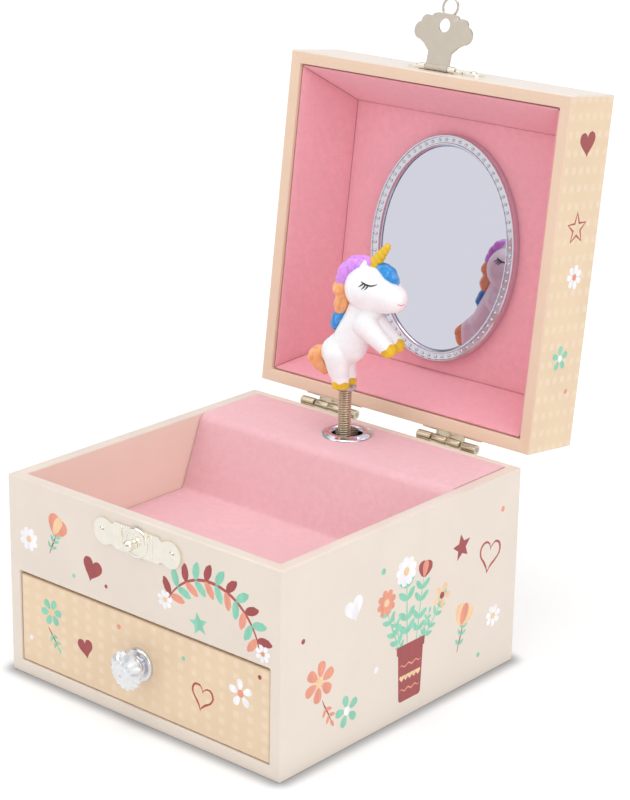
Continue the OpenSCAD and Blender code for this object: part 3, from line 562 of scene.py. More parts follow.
@recipe(metallic=1)
def plated(made, rgb, rough, worn=0.05):
    """Plated or ground metal: faint clouding, fine rubbing and small dents."""
    cloud, rub = made.grain(350, 3), made.grain(2200, 2, 0.6, (1, 6, 6))
    return made.done(
        made.mottle(cloud, rgb, 0.975, 1.015), made.ramp(rub, 0.3, 0.75, rough, rough + worn),
        made.times(rub, 0.12, cloud), 0.000006, 0.3,
    )


@recipe(metallic=1)
def mirror_pane(made, rgb):
    """Silvered glass: even tint, a breath of haze in places."""
    haze = made.grain(30, 2)
    return made.done(made.mottle(haze, rgb, 0.985), made.ramp(haze, 0.35, 0.7, 0.02, 0.05))


@recipe(coat_weight=0.3, coat_roughness=0.18, subsurface_weight=0.12, subsurface_scale=0.0025)
def vinyl(made, rgb, rough=0.28, locks=0):
    """Soft moulded vinyl or its paint: slight marbling, a waxy coat, faint moulding ripple, and hair strokes with
    painted highlights on their crests and painted shade in their grooves.
    """
    cloud, fine = made.grain(260, 3), made.grain(1500, 2)
    stroke = made.grain(900, 2, 0.6, (1, 1, 0.22))
    pale = tone([0.6 * c + 0.4 for c in rgb])
    base = made.mottle(cloud, rgb, 0.96, 1.02)
    # painted highlight: the raised crests of the hair strokes turn paler
    base = made.blend(made.ramp(stroke, 0.5, 0.72, 0, 0.5 * locks), base, pale)
    # painted shade: the grooves between the hair strokes turn darker
    base = made.blend(made.ramp(stroke, 0.48, 0.3, 0, 0.6 * locks), base, tone(rgb, 0.66))
    height = made.times(stroke, 2 * locks, made.times(fine, 0.15, cloud))
    return made.done(base, made.ramp(fine, 0.3, 0.7, rough, rough + 0.1), height, 0.00012, 0.4)


@recipe(coat_weight=0.3, coat_roughness=0.18, subsurface_weight=0.1, subsurface_scale=0.002)
def painted_vinyl(made, ground, paint):
    """White vinyl with paint laid on by the piece's own paint attribute."""
    mask = made.add("Attribute", attribute_name="paint").outputs["Fac"]
    wobble = made.times(made.grain(1100, 2), 0.3, made.sums("SUBTRACT", mask, 0.15))
    cloud, fine = made.grain(260, 3), made.grain(1500, 2)
    skin, coat = made.mottle(cloud, ground, 0.965, 1.02), made.mottle(cloud, paint, 0.85, 1.12)
    return made.done(
        made.blend(made.ramp(wobble, -0.06, 0.06), skin, coat), made.ramp(fine, 0.3, 0.7, 0.26, 0.38),
        made.times(fine, 0.15, cloud), 0.00012, 0.4,
    )


@recipe(**GLOSS)
def ink(made, rgb):
    """Printed gouache: brush streaks and worn spots under the paper's gloss."""
    streak, speck = made.grain(420, 3, 0.6, (1, 1, 0.25)), made.grain(1800, 2)
    base = made.blend(made.ramp(speck, 0.6, 0.8, 0, 0.3), made.mottle(streak, rgb, 0.9, 1.08), tone(rgb, 1.25))
    return made.done(base, made.ramp(streak, 0.2, 0.8, 0.32, 0.44), speck, 0.00004, 0.4)


@recipe(roughness=0.85)
def board(made, rgb):
    """Bare grey-brown fibreboard and card inside the case."""
    chip = made.grain(900, 4, 0.65, (1, 1, 3))
    return made.done(made.mottle(chip, rgb, 0.82, 1.08), None, chip, 0.0001, 0.5)


@recipe(ior=1.49, transmission_weight=0.65)
def clear(made, rgb):
    """Clear moulded plastic, with faint flow lines inside."""
    cloud = made.grain(500, 3)
    return made.done(
        made.mottle(cloud, rgb, 0.96), made.ramp(cloud, 0.3, 0.7, 0.12, 0.18), cloud, 0.000004, 0.3
    )


@recipe(ior=1.6, transmission_weight=0.3, metallic=0.4, coat_weight=0.6, coat_roughness=0.02)
def faceted(made, rgb):
    """Moulded crystal with a silvered back: bright, with sharp glints off its facets."""
    cloud = made.grain(500, 3)
    return made.done(made.mottle(cloud, rgb, 0.96), made.ramp(cloud, 0.3, 0.7, 0.02, 0.06))


METALS = {
    # colour setting, roughness, and how much rougher wear makes it
    "pale_nickel": ("nickel", 0.16, 0.1), "hinge_nickel": ("hinge", 0.2, 0.1), "matt_nickel": ("matt", 0.3, 0.12),
    "chrome": ("chrome", 0.06, 0.05), "coil": ("coil", 0.24, 0.14), "steel": ("steel", 0.22, 0.12),
    "comb": ("steel", 0.3, 0.1), "brass": ("brass", 0.2, 0.12), "cast": ("cast", 0.42, 0.15),
}


def metal(name):
    """One of the metals, in the colour that is set for it."""
    setting, rough, worn = METALS[name]
    return plated("look_" + name, getattr(bpy.context.scene.jewel_box.metal, setting), rough, worn)


# ---- Stage ----


def floor_finish(look):
    """Pale floor that reads white to the camera and keeps the cast shadow, with a painted contact shadow that darkens
    it in a line round the case.
    """
    made = Finish("floor_paper", roughness=0.9, specular_ior_level=0.1)
    parts = made.add("SeparateXYZ", {0: made.coords["Object"]})
    centre, inset = (CASE_LOW + CASE_HIGH) / 2, 2 * MM
    past = []
    for axis in range(2):
        off = made.sums("ABSOLUTE", made.sums("SUBTRACT", parts.outputs[axis], centre[axis]))
        gap = made.sums("SUBTRACT", off, CASE_HIGH[axis] - centre[axis] - inset)
        past.append(made.sums("MAXIMUM", gap, 0))
    reach = made.times(past[0], past[0], made.times(past[1], past[1]))
    outside = made.sums("SUBTRACT", made.sums("SQRT", reach), inset)
    base = made.mottle(made.grain(90, 3), look.floor, 0.995)
    # painted contact shadow: within 6 mm of the case's foot the floor colour darkens towards 0.3 of itself
    made.done(made.blend(made.ramp(outside, 0, 0.006, 0.75, 0), base, tone(look.floor, 0.3)))
    rays = made.add("LightPath").outputs
    far = made.add("VectorMath", {0: made.coords["Object"]}, operation="LENGTH").outputs["Value"]
    # the camera sees part of the floor as a white glow, weaker near the middle so the cast shadow shows, and faded out
    # at the case's foot as painted shade
    seen = made.times(rays["Is Camera Ray"], made.ramp(far, 0.1, 0.4, 0.4, 0.8))
    seen = made.times(seen, made.ramp(outside, 0, 0.008, 0.1, 1))
    for kind in ("Is Glossy Ray", "Is Transmission Ray"):
        seen = made.sums("MAXIMUM", seen, rays[kind])
    bright = made.times(rays["Is Camera Ray"], 0.2, 0.95)
    glow = made.add("Emission", {"Color": WHITE, "Strength": bright})
    made.fill(made.out.inputs[0], made.mix(seen, made.shader, glow).outputs[0])
    return made.made


def sky(look):
    """Even light all round, a striped room for the metals to mirror, and white behind for the camera."""
    world = bpy.data.worlds.new("studio")
    bpy.context.scene.world = world
    world.use_nodes = True
    made = Shading(world.node_tree)
    rays = made.add("LightPath").outputs
    height = made.add("SeparateXYZ", {0: made.coords["Generated"]}).outputs[2]
    shine = made.sums("ADD", made.ramp(height, 0.15, 0.35, 0.95, 0.4), made.ramp(height, 0.55, 0.8, 0, 0.75))
    even, white, room = (made.add("Background", {"Color": WHITE, "Strength": s}) for s in (look.sky, 1.1, shine))
    clear_ray = made.sums("MAXIMUM", rays["Is Camera Ray"], rays["Is Transmission Ray"])
    last = made.mix(clear_ray, made.mix(rays["Is Glossy Ray"], even, room), white)
    made.add("OutputWorld", {0: last.outputs[0]})


def lamp(name, place, size, power):
    """A soft round lamp that looks at the middle of the box."""
    light = bpy.data.lights.new(name, "AREA")
    light.shape, light.size, light.energy = "DISK", size, power
    made = bpy.data.objects.new(name, light)
    bpy.context.scene.collection.objects.link(made)
    made.location = place
    made.rotation_euler = (Vector((0, 0, 0.07)) - Vector(place)).to_track_quat("-Z", "Y").to_euler()


class StageOperator(bpy.types.Operator):
    """Lays the floor and sets the sky, the lamps and the camera"""

    bl_idname = "jewel_box.stage"
    bl_label = "Stage"

    def execute(self, context):
        scene, look = context.scene, context.scene.jewel_box.stage
        lens = bpy.data.cameras.new("camera")
        lens.lens, lens.sensor_width, lens.clip_start = look.lens, 36, 0.01
        scene.camera = bpy.data.objects.new("camera", lens)
        scene.collection.objects.link(scene.camera)
        scene.camera.location, scene.camera.rotation_euler = look.camera_place, Euler(look.camera_turn)
        scene.view_settings.view_transform = "Standard"
        bm = bmesh.new()
        bmesh.ops.create_grid(bm, x_segments=4, y_segments=4, size=4, matrix=shift(0, 0, -0.05))
        piece("floor", bm, floor_finish(look))
        sky(look)
        lamp("key", (-0.75, -1.15, 1), 0.9, look.key)
        lamp("fill", (1.25, -0.35, 0.7), 0.9, look.fill)
        lamp("top", (0.1, -0.1, 1.5), 1, look.top)
        return {"FINISHED"}


# ---- Case, tray and drawer ----


def face_map(mesh):
    """Lays a piece's own flat map over its faces, in metres, each face seen square on."""
    layer = mesh.uv_layers.new(name="flat")
    for face in mesh.polygons:
        size = [abs(n) for n in face.normal]
        keep = [i for i in range(3) if i != size.index(max(size))]
        for corner in face.loop_indices:
            co = mesh.vertices[mesh.loops[corner].vertex_index].co
            layer.data[corner].uv = [co[i] for i in keep]


def wrap_board(made, edge, choose, *finishes):
    """Rounds a board box's edges and papers it: choose gives a finish's number for a face's centre."""
    for item in finishes:
        made.data.materials.append(item)
    for face in soften(made, edge, 3).data.polygons:
        face.material_index = choose(face.center)


def case_side(centre):
    """0 for the printed paper of the outside and the edges, 1 for the plain paper inside."""
    near = 0.7 * MM
    outside = (
        abs(centre.x) > CASE_HIGH.x - near or centre.y > CASE_HIGH.y - near
        or centre.y < FRONT_IN - 0.1 * MM or centre.z < near or centre.z > CASE_HIGH.z - near
    )
    return 0 if outside else 1


def lid_side(centre):
    """0 for the checked sides, 1 for the cream front and top, 2 for the plain rim and inside."""
    near = 0.5 * MM
    if centre.z > LID_Z1 - near or centre.y < CASE_LOW.y + near:
        return 1
    if centre.z < LID_Z0 + near or (abs(centre.x) < IN_X + near and abs(centre.y) < -FRONT_IN + near):
        return 2
    return 0


class CaseOperator(bpy.types.Operator):
    """Wraps the case walls and bottom in printed paper, with plain paper inside"""

    bl_idname = "jewel_box.case"
    bl_label = "Case"

    def execute(self, context):
        look, over = context.scene.jewel_box.paper, 5 * MM
        case = hollow(
            "case_shell", CASE_LOW, CASE_HIGH, ((-IN_X, FRONT_IN, FLOOR_IN), (IN_X, BACK_IN, CASE_HIGH.z + over)),
            ((-IN_X, CASE_LOW.y - over, FLOOR_IN), (IN_X, FRONT_IN + over, BAY_TOP)),
        )
        drill(case, 3.5 * MM, face_frame((POST.x, CASE_HIGH.y, middle("winding_arbor").z), (1, 0, 0)), 40)
        wrap_board(
            case, look.edge, case_side, paper("look_cream_paper", look.cream), paper("look_inner_paper", look.inner)
        )
        walls = ("left_wall", "right_wall", "back_wall", "front_panel", "bottom_board")
        stand_for(case, "box", "cream_paper", *walls)
        dress(board("look_board", srgb(206, 178, 160)), "bay_partition", "tray_board", "deck_cleats", "movement_cover")
        return {"FINISHED"}


class TrayOperator(bpy.types.Operator):
    """Lays the felt over the tray floor, up the slope and across the deck"""

    bl_idname = "jewel_box.tray"
    bl_label = "Tray felt"

    def execute(self, context):
        look = context.scene.jewel_box.felt
        low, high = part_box("tray_felt")
        foot_y, deck_y, floor_z = 17.2 * MM, 27 * MM, 44.5 * MM
        bm = bmesh.new()
        line = [(low.y, floor_z), (foot_y, floor_z), (deck_y, high.z), (high.y, high.z)]
        edges = polyline(bm, [(low.x, y, z) for y, z in line])[1]
        new = verts_of(bmesh.ops.extrude_edge_only(bm, edges=edges)["geom"])
        bmesh.ops.translate(bm, vec=(high.x - low.x, 0, 0), verts=new)

        def across():
            return [e for e in bm.edges if abs(e.verts[0].co.x - e.verts[1].co.x) > MM]

        for y, offset, steps in ((foot_y, 1.03, 5), (deck_y, 2.75, 9)):
            bmesh.ops.bevel(
                bm, geom=[e for e in across() if all(abs(v.co.y - y) < 1e-6 for v in e.verts)], offset=offset * MM,
                offset_type="OFFSET", affect="EDGES", segments=steps, profile=0.5, material=-1, clamp_overlap=True,
            )
        bmesh.ops.subdivide_edges(bm, edges=across(), cuts=48, use_grid_fill=True)
        refine(bm, 3.2 * MM)
        ripple(bm.verts, look.wave, 0.011, (0, -0.4, 0.9))
        sheet = piece("tray_felt_sheet", bm, felt("look_tray_felt", look.tray), 60)
        if sheet.data.polygons[0].normal.z < 0:
            sheet.data.flip_normals()
        thicken(sheet, 0.6 * MM)
        drill(sheet, 5.9 * MM, Matrix.Translation((*middle("eyelet").xy, high.z)), 48)
        soften(sheet, 0.22 * MM, 2, 50).data.shade_smooth()
        stand_for(sheet, "box", "pink_felt", "tray_felt")
        return {"FINISHED"}


class DrawerOperator(bpy.types.Operator):
    """Wraps the drawer front in checked paper and lines the drawer"""

    bl_idname = "jewel_box.drawer"
    bl_label = "Drawer"

    def execute(self, context):
        look, wool = context.scene.jewel_box.paper, context.scene.jewel_box.felt
        low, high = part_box("drawer_front")
        gap = Vector((0, 0, 0.75 * MM))
        front = piece("drawer_front_board", block(low, high - gap), checked_paper("look_tan_check", look))
        face_map(soften(front, look.edge, 3).data)
        stand_for(front, "drawer", "tan_paper", "drawer_front")
        boards = ("drawer_sides", "drawer_back", "drawer_floor")
        tray = piece("drawer_tray", cad_copy(*boards), paper("look_inner_paper", look.inner))
        stand_for(soften(tray, 0.25 * MM), "drawer", "inner_paper", *boards)
        low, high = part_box("drawer_felt")
        bm = bmesh.new()
        bmesh.ops.create_grid(
            bm, x_segments=40, y_segments=26, size=0.5,
            matrix=Matrix.Translation((*middle("drawer_felt").xy, high.z))
            @ Matrix.Diagonal((high.x - low.x, high.y - low.y, 1, 1)),
        )
        ripple(bm.verts, wool.wave, 0.012, UP)
        pad = thicken(piece("drawer_lining", bm, felt("look_tray_felt", wool.tray), 60), high.z - low.z)
        stand_for(pad, "drawer", "pink_felt", "drawer_felt")
        return {"FINISHED"}


# ---- Lid ----


class LidOperator(bpy.types.Operator):
    """Wraps the lid boards: checked paper round the sides, cream on the front and top, plain tan rim"""

    bl_idname = "jewel_box.lid"
    bl_label = "Lid"

    def execute(self, context):
        look = context.scene.jewel_box.paper
        lid = hollow(
            "lid_shell", (CASE_LOW.x, CASE_LOW.y, LID_Z0), (CASE_HIGH.x, CASE_HIGH.y, LID_Z1),
            ((-IN_X, FRONT_IN, LID_Z0 - 5 * MM), (IN_X, -FRONT_IN, LID_Z1 - 2.5 * MM)),
        )
        wrap_board(
            lid, look.edge, lid_side, checked_paper("look_tan_check", look), paper("look_cream_paper", look.cream),
            paper("look_tan_plain", look.tan_plain),
        )
        face_map(lid.data)
        lid.data.transform(LID)
        stand_for(lid, "lid", "tan_paper", "lid_top_board", "lid_front_wall", "lid_back_wall", "lid_side_walls")
        return {"FINISHED"}


class LiningOperator(bpy.types.Operator):
    """Fits the five felt-covered boards that line the lid"""

    bl_idname = "jewel_box.lining"
    bl_label = "Lid lining"

    def execute(self, context):
        look = context.scene.jewel_box.felt
        rim, deep, top_y = 54.6 * MM, 44.8 * MM, 1 * MM
        rim_z, deep_z = LID_Z0 + 1 * MM, 91.6 * MM
        bm = bmesh.new()
        bmesh.ops.create_grid(bm, x_segments=1, y_segments=1, size=rim, matrix=Matrix.Translation((0, 0, rim_z)))
        face = bm.faces[:][0]
        verts = verts_of(bmesh.ops.extrude_face_region(bm, geom=[face])["geom"])
        bmesh.ops.delete(bm, geom=[face], context="FACES_ONLY")
        for v in verts:
            v.co = Vector((copysign(deep, v.co.x), top_y + copysign(deep, v.co.y), deep_z))
        bmesh.ops.split_edges(bm, edges=[e for e in bm.edges if len(e.link_faces) == 2])
        bm.normal_update()
        for panel in bm.faces[:]:
            centre = panel.calc_center_median()
            for v in panel.verts:
                v.co += (centre - v.co).normalized() * 0.02 * MM
            if panel.normal.dot(Vector((0, 0, 0.075)) - centre) < 0:
                panel.normal_flip()
        refine(bm, 5 * MM)
        for v in bm.verts:
            if not v.is_boundary:
                v.co += v.normal * look.wave * noise.noise(v.co / 0.013)
        lining = thicken(bare("lid_lining_boards", bm, felt("look_lid_felt", look.lid)), 0.7 * MM)
        soften(lining, look.crease, 2, 50).data.shade_smooth()
        lining.data.transform(LID)
        stand_for(lining, "lid", "pink_felt", "lid_lining")
        return {"FINISHED"}


def oval(bm, profile, half_a, half_b, steps=120):
    """Turns a profile of (inset, height) points, in millimetres, round an oval; inset None is its middle."""
    wide = 50
    for vert in lathe(bm, [(0 if inset is None else wide - inset, height) for inset, height in profile], steps):
        reach = hypot(vert.co.x, vert.co.y)
        if reach > MM:
            inset, angle = wide * MM - reach, atan2(vert.co.y, vert.co.x)
            vert.co.x, vert.co.y = (half_a - inset) * cos(angle), (half_b - inset) * sin(angle)


def even_steps(a, b, count):
    """Angles that share the way round an oval evenly."""
    steps = 720
    around, total = [0], 0
    for i in range(steps):
        p, q = tau * i / steps, tau * (i + 1) / steps
        total += hypot(a * (cos(q) - cos(p)), b * (sin(q) - sin(p)))
        around.append(total)
    index = 0
    for i in range(count):
        while around[index] < total * i / count:
            index += 1
        yield tau * index / steps


class MirrorOperator(bpy.types.Operator):
    """Sets the oval mirror and its beaded moulding in the lid"""

    bl_idname = "jewel_box.mirror"
    bl_label = "Mirror"

    def execute(self, context):
        look = context.scene.jewel_box.mirror
        centre = Vector((1, 2, 91.6)) * MM
        half_a, half_b = 31.5 * MM, 40.3 * MM
        section = [
            (0, 0), (0, -2.2), (0.15, -2.7), (0.5, -3.1), (0.95, -3.15), (1.15, -2.75), (3.05, -2.75), (3.25, -3.15),
            (3.6, -3.1), (3.95, -2.6), (4.15, -1.9), (4.2, -1.6), (4.2, 0), (0, 0),
        ]
        bm = bmesh.new()
        oval(bm, section, half_a, half_b)
        bmesh.ops.translate(bm, vec=centre, verts=bm.verts)
        a, b = half_a - 2.1 * MM, half_b - 2.1 * MM
        for angle in even_steps(a, b, look.beads):
            place = Matrix.Translation(centre + Vector((a * cos(angle), b * sin(angle), -2.8 * MM)))
            bmesh.ops.create_icosphere(bm, subdivisions=2, radius=look.bead, matrix=place)
        trim = piece("mirror_moulding", bm, plated("look_trim", look.trim, 0.12), 42, LID)
        stand_for(trim, "lid", "mirror_trim", "mirror_frame")
        bm = bmesh.new()
        oval(bm, [(None, 0), (4.25, 0), (4.25, -1.35), (4.5, -1.6), (None, -1.6)], half_a, half_b)
        bmesh.ops.translate(bm, vec=centre, verts=bm.verts)
        glass = piece("mirror_pane", bm, mirror_pane("look_mirror", look.glass), 30, LID)
        stand_for(glass, "lid", "mirror", "mirror_glass")
        return {"FINISHED"}


# ---- Fittings ----


class CatchOperator(bpy.types.Operator):
    """Fixes the catch: stamped plate, ridged boss, ball stud and nails"""

    bl_idname = "jewel_box.catch"
    bl_label = "Catch"

    def execute(self, context):
        nickel = metal("pale_nickel")
        stamped("catch_sheet", nickel, "box", "pale_nickel", "catch_plate", context.scene.jewel_box.metal.bevel)
        front = face_frame((0, CASE_LOW.y, 62.5 * MM), (1, 0, 0))
        stem = [(0, -2.4), (1, -2.4), (1, 1.8), (1.55, 1.8), (1.6, 2.1), (1.3, 2.5)]
        ball_end = arc(0, 4.2, 2, -48, 84, 12) + [(0, 6.2)]
        turned("catch_ball", stem + ball_end, 32, front, nickel, 35, "box", "pale_nickel", "catch_stud")
        boss = [
            (5.1, 0.75), (5.05, 1), (4.7, 1.36), (4.3, 1.38), (3.9, 0.98), (3.5, 0.96), (3.1, 1.48), (2.8, 1.54),
            (2.4, 1.2), (2.2, 1.2), (1.9, 1.7), (1.6, 1.74), (1.1, 1.74), (1.1, 0.9),
        ]
        bm = bmesh.new()
        lathe(bm, boss, 48, front)
        rib = arc(0, -3.4, 0.55, -90, 0, 5) + arc(0, 3.4, 0.55, 0, 90, 5)
        for x in (-6.6, 6.6):
            lathe(bm, rib, 16, front @ shift(x, 0, 0.75) @ spun(90, "X"))
        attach(piece("catch_boss", bm, nickel, 70), "box")
        dress(nickel, "box_nails", "lid_nails")
        return {"FINISHED"}


class HaspOperator(bpy.types.Operator):
    """Hangs the hasp on the lid: plate, fan-shaped flap, pull ring and pin"""

    bl_idname = "jewel_box.hasp"
    bl_label = "Hasp"

    def execute(self, context):
        bevel = context.scene.jewel_box.metal.bevel
        stamped("hasp_sheet", metal("pale_nickel"), "lid", "pale_nickel", "hasp_plate", bevel)
        stamped("hasp_fan", metal("matt_nickel"), "hasp", "matt_nickel", "hasp_flap", bevel)
        place = HASP @ shift(0, 1.35, 20.75) @ spun(90, "X")
        wire = arc(3.1, 0, 0.4, 0, 360, 12)
        ring = turned("hasp_ring", wire, 48, place, metal("matt_nickel"), 40, "ring", "matt_nickel", "pull_ring")
        centre = sum((v.co for v in ring.data.vertices), Vector()) / len(ring.data.vertices)
        if (centre - middle("pull_ring")).length > 0.2 * MM:
            raise RuntimeError("the pull ring does not lie where the frame has it")
        dress(metal("steel"), "hasp_pin")
        return {"FINISHED"}


class HingeOperator(bpy.types.Operator):
    """Fits the two rolled hinges at the back"""

    bl_idname = "jewel_box.hinges"
    bl_label = "Hinges"

    def execute(self, context):
        bevel = context.scene.jewel_box.metal.bevel
        for body in ("box", "lid"):
            leaves = piece(body + "_leaves", cad_copy(body + "_hinge_leaves"), metal("hinge_nickel"), 30)
            for hinge_x in (-26.5, 26.5):
                for gap_x, half in ((-6.25, 0.42), (0, 0.1), (6.25, 0.42)):
                    reach = Vector((half, 1.75, 1.75)) * MM
                    centre = Vector(((hinge_x + gap_x) * MM, HINGE.y, HINGE.z))
                    carve(leaves, block(centre - reach, centre + reach))
            stand_for(soften(leaves, bevel, 2, 40), body, "pale_nickel", body + "_hinge_leaves")
        dress(metal("steel"), "hinge_pins")
        return {"FINISHED"}


class KnobOperator(bpy.types.Operator):
    """Screws the petalled crystal knob to the drawer"""

    bl_idname = "jewel_box.knob"
    bl_label = "Crystal knob"

    def execute(self, context):
        place = face_frame((0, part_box("knob_base")[1].y, middle("knob_base").z), (1, 0, 0))
        cup = [
            (0.95, 0), (5.7, 0), (5.7, 0.45), *arc(4.6, 0.45, 1.1, 0, 80, 6), (3.4, 1.5), (3.2, 1.75), (2.6, 1.8),
            (2.3, 2.2), (2.4, 2.7), (3.1, 2.95), (3.7, 3.3), (4.1, 3.75), (0, 3.75), (0, 1.4), (0.95, 1.4), (0.95, 0),
        ]
        turned("knob_cup", cup, 48, place, metal("chrome"), 50, "drawer", "chrome", "knob_base")
        bm = bmesh.new()
        petals = 18
        # height of each ring, with its reach at a petal's crest and between two petals
        rings = {3.8: (4.1, 4), 5.7: (6.75, 6.1), 6.5: (6.75, 6), 7.4: (6.1, 5.3), 8.3: (4.6, 4), 8.1: (3.5, 3.2),
                 8.6: (2.8, 2.6), 8.9: (1.7, 1.6), 8.5: (0.9, 0.9)}
        profile = [(0, 3.8)] + [(wide, height) for height, (wide, narrow) in rings.items()] + [(0, 8.5)]
        for vert in lathe(bm, profile, 2 * petals):
            reach, height = hypot(vert.co.x, vert.co.y), round(vert.co.z / MM, 2)
            if reach > 0.5 * MM and height in rings:
                wide, narrow = rings[height]
                wave = abs(cos(atan2(vert.co.y, vert.co.x) * petals / 2))
                vert.co.xy *= (narrow + (wide - narrow) * wave) * MM / reach
        stone = piece("knob_stone", bm, faceted("look_crystal", (0.97, 0.98, 1)), 24, place)
        stand_for(stone, "drawer", "crystal", "knob_crystal")
        dress(metal("steel"), "knob_screw")
        return {"FINISHED"}


class EyeletOperator(bpy.types.Operator):
    """Presses the chrome eyelet into the deck"""

    bl_idname = "jewel_box.eyelet"
    bl_label = "Eyelet"

    def execute(self, context):
        section = [
            (5.75, 0), (9.1, 0), (9.2, 0.12), (9.05, 0.42), (8.6, 0.62), (8.1, 0.78), (7.6, 1.02), (7.1, 1.2),
            (6.4, 1.22), (5.8, 0.98), (5.4, 0.6), (5.25, 0.1), (5.25, -2.4), (5.75, -2.4), (5.75, 0),
        ]
        place = Matrix.Translation((*middle("eyelet").xy, CASE_HIGH.z))
        turned("deck_eyelet", section, 64, place, metal("chrome"), 60, "box", "chrome", "eyelet")
        return {"FINISHED"}


# ---- Spring and figure ----


COIL_PITCH, WIRE = 0.84 * MM, 0.41 * MM


def wind(name, foot, start, end):
    """Winds one length of the spring; its coils count from the foot, so that the lengths meet."""
    bm, turns, steps_round = bmesh.new(), (end - start) / COIL_PITCH, 24
    matrix = Matrix.Rotation(tau * (start - foot) / COIL_PITCH, 4, "Z") @ shift(1.9, 0, 0) @ spun(90, "X")
    ring = bmesh.ops.create_circle(bm, cap_ends=False, segments=10, radius=WIRE, matrix=matrix)["verts"]
    steps = max(4, round(turns * steps_round))
    bmesh.ops.spin(
        bm, geom=ring + edges_of(ring), cent=(0, 0, 0), axis=UP, dvec=(0, 0, (end - start) / steps),
        angle=tau * turns, steps=steps, use_merge=False, use_normal_flip=False, use_duplicate=False,
    )
    bmesh.ops.holes_fill(bm, edges=bm.edges, sides=0)
    return piece(name, bm, metal("coil"), 60, Matrix.Translation((POST.x, POST.y, start)))


class SpringOperator(bpy.types.Operator):
    """Winds the spring that carries the figure, in lengths of wire that meet as one run"""

    bl_idname = "jewel_box.spring"
    bl_label = "Spring"

    def execute(self, context):
        foot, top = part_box("spring_root")[0].z, DISC_TOP - 1.05 * MM
        low, bend = 66 * MM, 79.28 * MM
        root = wind("coil_root", foot, foot + WIRE, low - COIL_PITCH)
        stand_for(root, "cylinder", "spring_steel", "spring_root")
        for name, end, start, stop, bodies, nodes in (
            ("coil_lower", bend, low, bend, ("box", "coil_1"), ("spring_1", "spring_2", "spring_3", "spring_4")),
            ("coil_upper", top - WIRE, bend, top, ("coil_1", "coil_2"), ("spring_5",)),
        ):
            coil = wind(name, foot, start, end)
            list(bodies)
            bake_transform(coil)
            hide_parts(*nodes)
        disc = [(0, -3.2), (1.1, -3.2), (1.25, -1.1), (1.4, -1.02), (3.7, -1), (3.95, -0.85), (4, -0.5), (3.92, -0.12),
                (3.7, 0), (0, 0)]
        plastic = clear("look_clear_plastic", (0.93, 0.93, 0.96))
        turned(
            "foot_disc", disc, 48, Matrix.Translation(POST), plastic, 50, "figure", "clear_plastic", "figure_disc"
        )
        return {"FINISHED"}


def ball(bm, centre, radius, across=1, detail=3):
    """A ball in figure coordinates, in millimetres, narrowed or widened across."""
    matrix = shift(*centre) @ Matrix.Diagonal((radius * MM, across * radius * MM, radius * MM, 1))
    bmesh.ops.create_icosphere(bm, subdivisions=detail, radius=1, matrix=matrix)


def chain(bm, points):
    """A run of tapered limbs with rounded ends through (x, y, z, radius) points."""
    for (*start, r_start), (*end, r_end) in zip(points, points[1:]):
        ball(bm, start, r_start)
        ball(bm, end, r_end)
        a, b = Vector(start), Vector(end)
        turn = (b - a).to_track_quat("Z", "Y").to_matrix().to_4x4()
        size = Matrix.Diagonal((MM, MM, MM, 1))
        cone(bm, r_start, r_end, (b - a).length, Matrix.Translation((a + b) / 2 * MM) @ turn @ size)


def bean(bm, points, across):
    """A fat run of balls through (x, z, radius) points, narrowed across."""
    for first, second in zip(points, points[1:]):
        for i in range(7):
            x, z, radius = (a + (b - a) * i / 6 for a, b in zip(first, second))
            ball(bm, (x, 0, z), radius, across)


def sculpt(name, bm, finish, grain_size, rounds, place, keep):
    """Melts overlapping shapes into one smooth skin; keep works on it before it is put in its place."""
    made = piece(name, bm, finish, merge=0)
    melt = made.modifiers.new("melt", "REMESH")
    melt.mode, melt.voxel_size, melt.use_smooth_shade = "VOXEL", grain_size, True
    ease = made.modifiers.new("ease", "SMOOTH")
    ease.factor, ease.iterations = 0.5, rounds
    settle(made)
    keep(made.data)
    made.data.transform(place)
    made.data.shade_smooth()
    return made


def tube(bm, points, radii, sides=8):
    """A closed tube through points, in metres, with radii in millimetres."""
    loops = []
    for i, point in enumerate(points):
        ahead = points[min(i + 1, len(points) - 1)] - points[max(i - 1, 0)]
        turn = ahead.to_track_quat("Z", "Y").to_matrix().to_4x4()
        made = bmesh.ops.create_circle(
            bm, cap_ends=False, segments=sides, radius=radii[i] * MM, matrix=Matrix.Translation(point) @ turn
        )
        loops.append(edges_of(made["verts"]))
    for first, second in zip(loops, loops[1:]):
        bmesh.ops.bridge_loops(bm, edges=first + second)
    for loop in (loops[0], loops[-1]):
        bmesh.ops.edgeloop_fill(bm, edges=[e for e in loop if e.is_valid])


HOOF_RIMS = [
    # centre, direction up the leg, height of the paint's edge
    (Vector(centre), Vector(up).normalized(), high)
    for centre, up, high in (
        ((-0.4, 3, 0), (0, 0, 1), 1.9), ((-0.4, -3, 0), (0, 0, 1), 1.9),
        ((19.3, 3.5, 14.6), (-0.74, 0, 0.67), 2.7), ((19.3, -3.5, 14.6), (-0.74, 0, 0.67), 2.7),
    )
]


def hoof_paint(mesh):
    """Marks the hooves for gold, with a scalloped edge, in millimetres past the edge."""
    marks = mesh.attributes.new("paint", "FLOAT", "POINT")
    for i, vert in enumerate(mesh.vertices):
        best = -1
        for centre, up, high in HOOF_RIMS:
            off = vert.co / MM - centre
            along = off.dot(up)
            side = off - up * along
            if side.length <= 4.2 and along <= 8:
                angle = atan2(side.y, side.z if abs(up.x) > 0.5 else side.x)
                best = max(best, min(1, high + 0.7 * abs(sin(2.5 * angle)) - along))
        marks.data[i].value = best


def strand(mesh):
    """Combs locks of hair with a shallow wave."""
    for vert in mesh.vertices:
        co = vert.co / MM
        vert.co += vert.normal * (sin(2.3 * co.y + 0.7 * co.z + 2.2 * noise.noise(co * 0.3)) * 0.16 * MM)


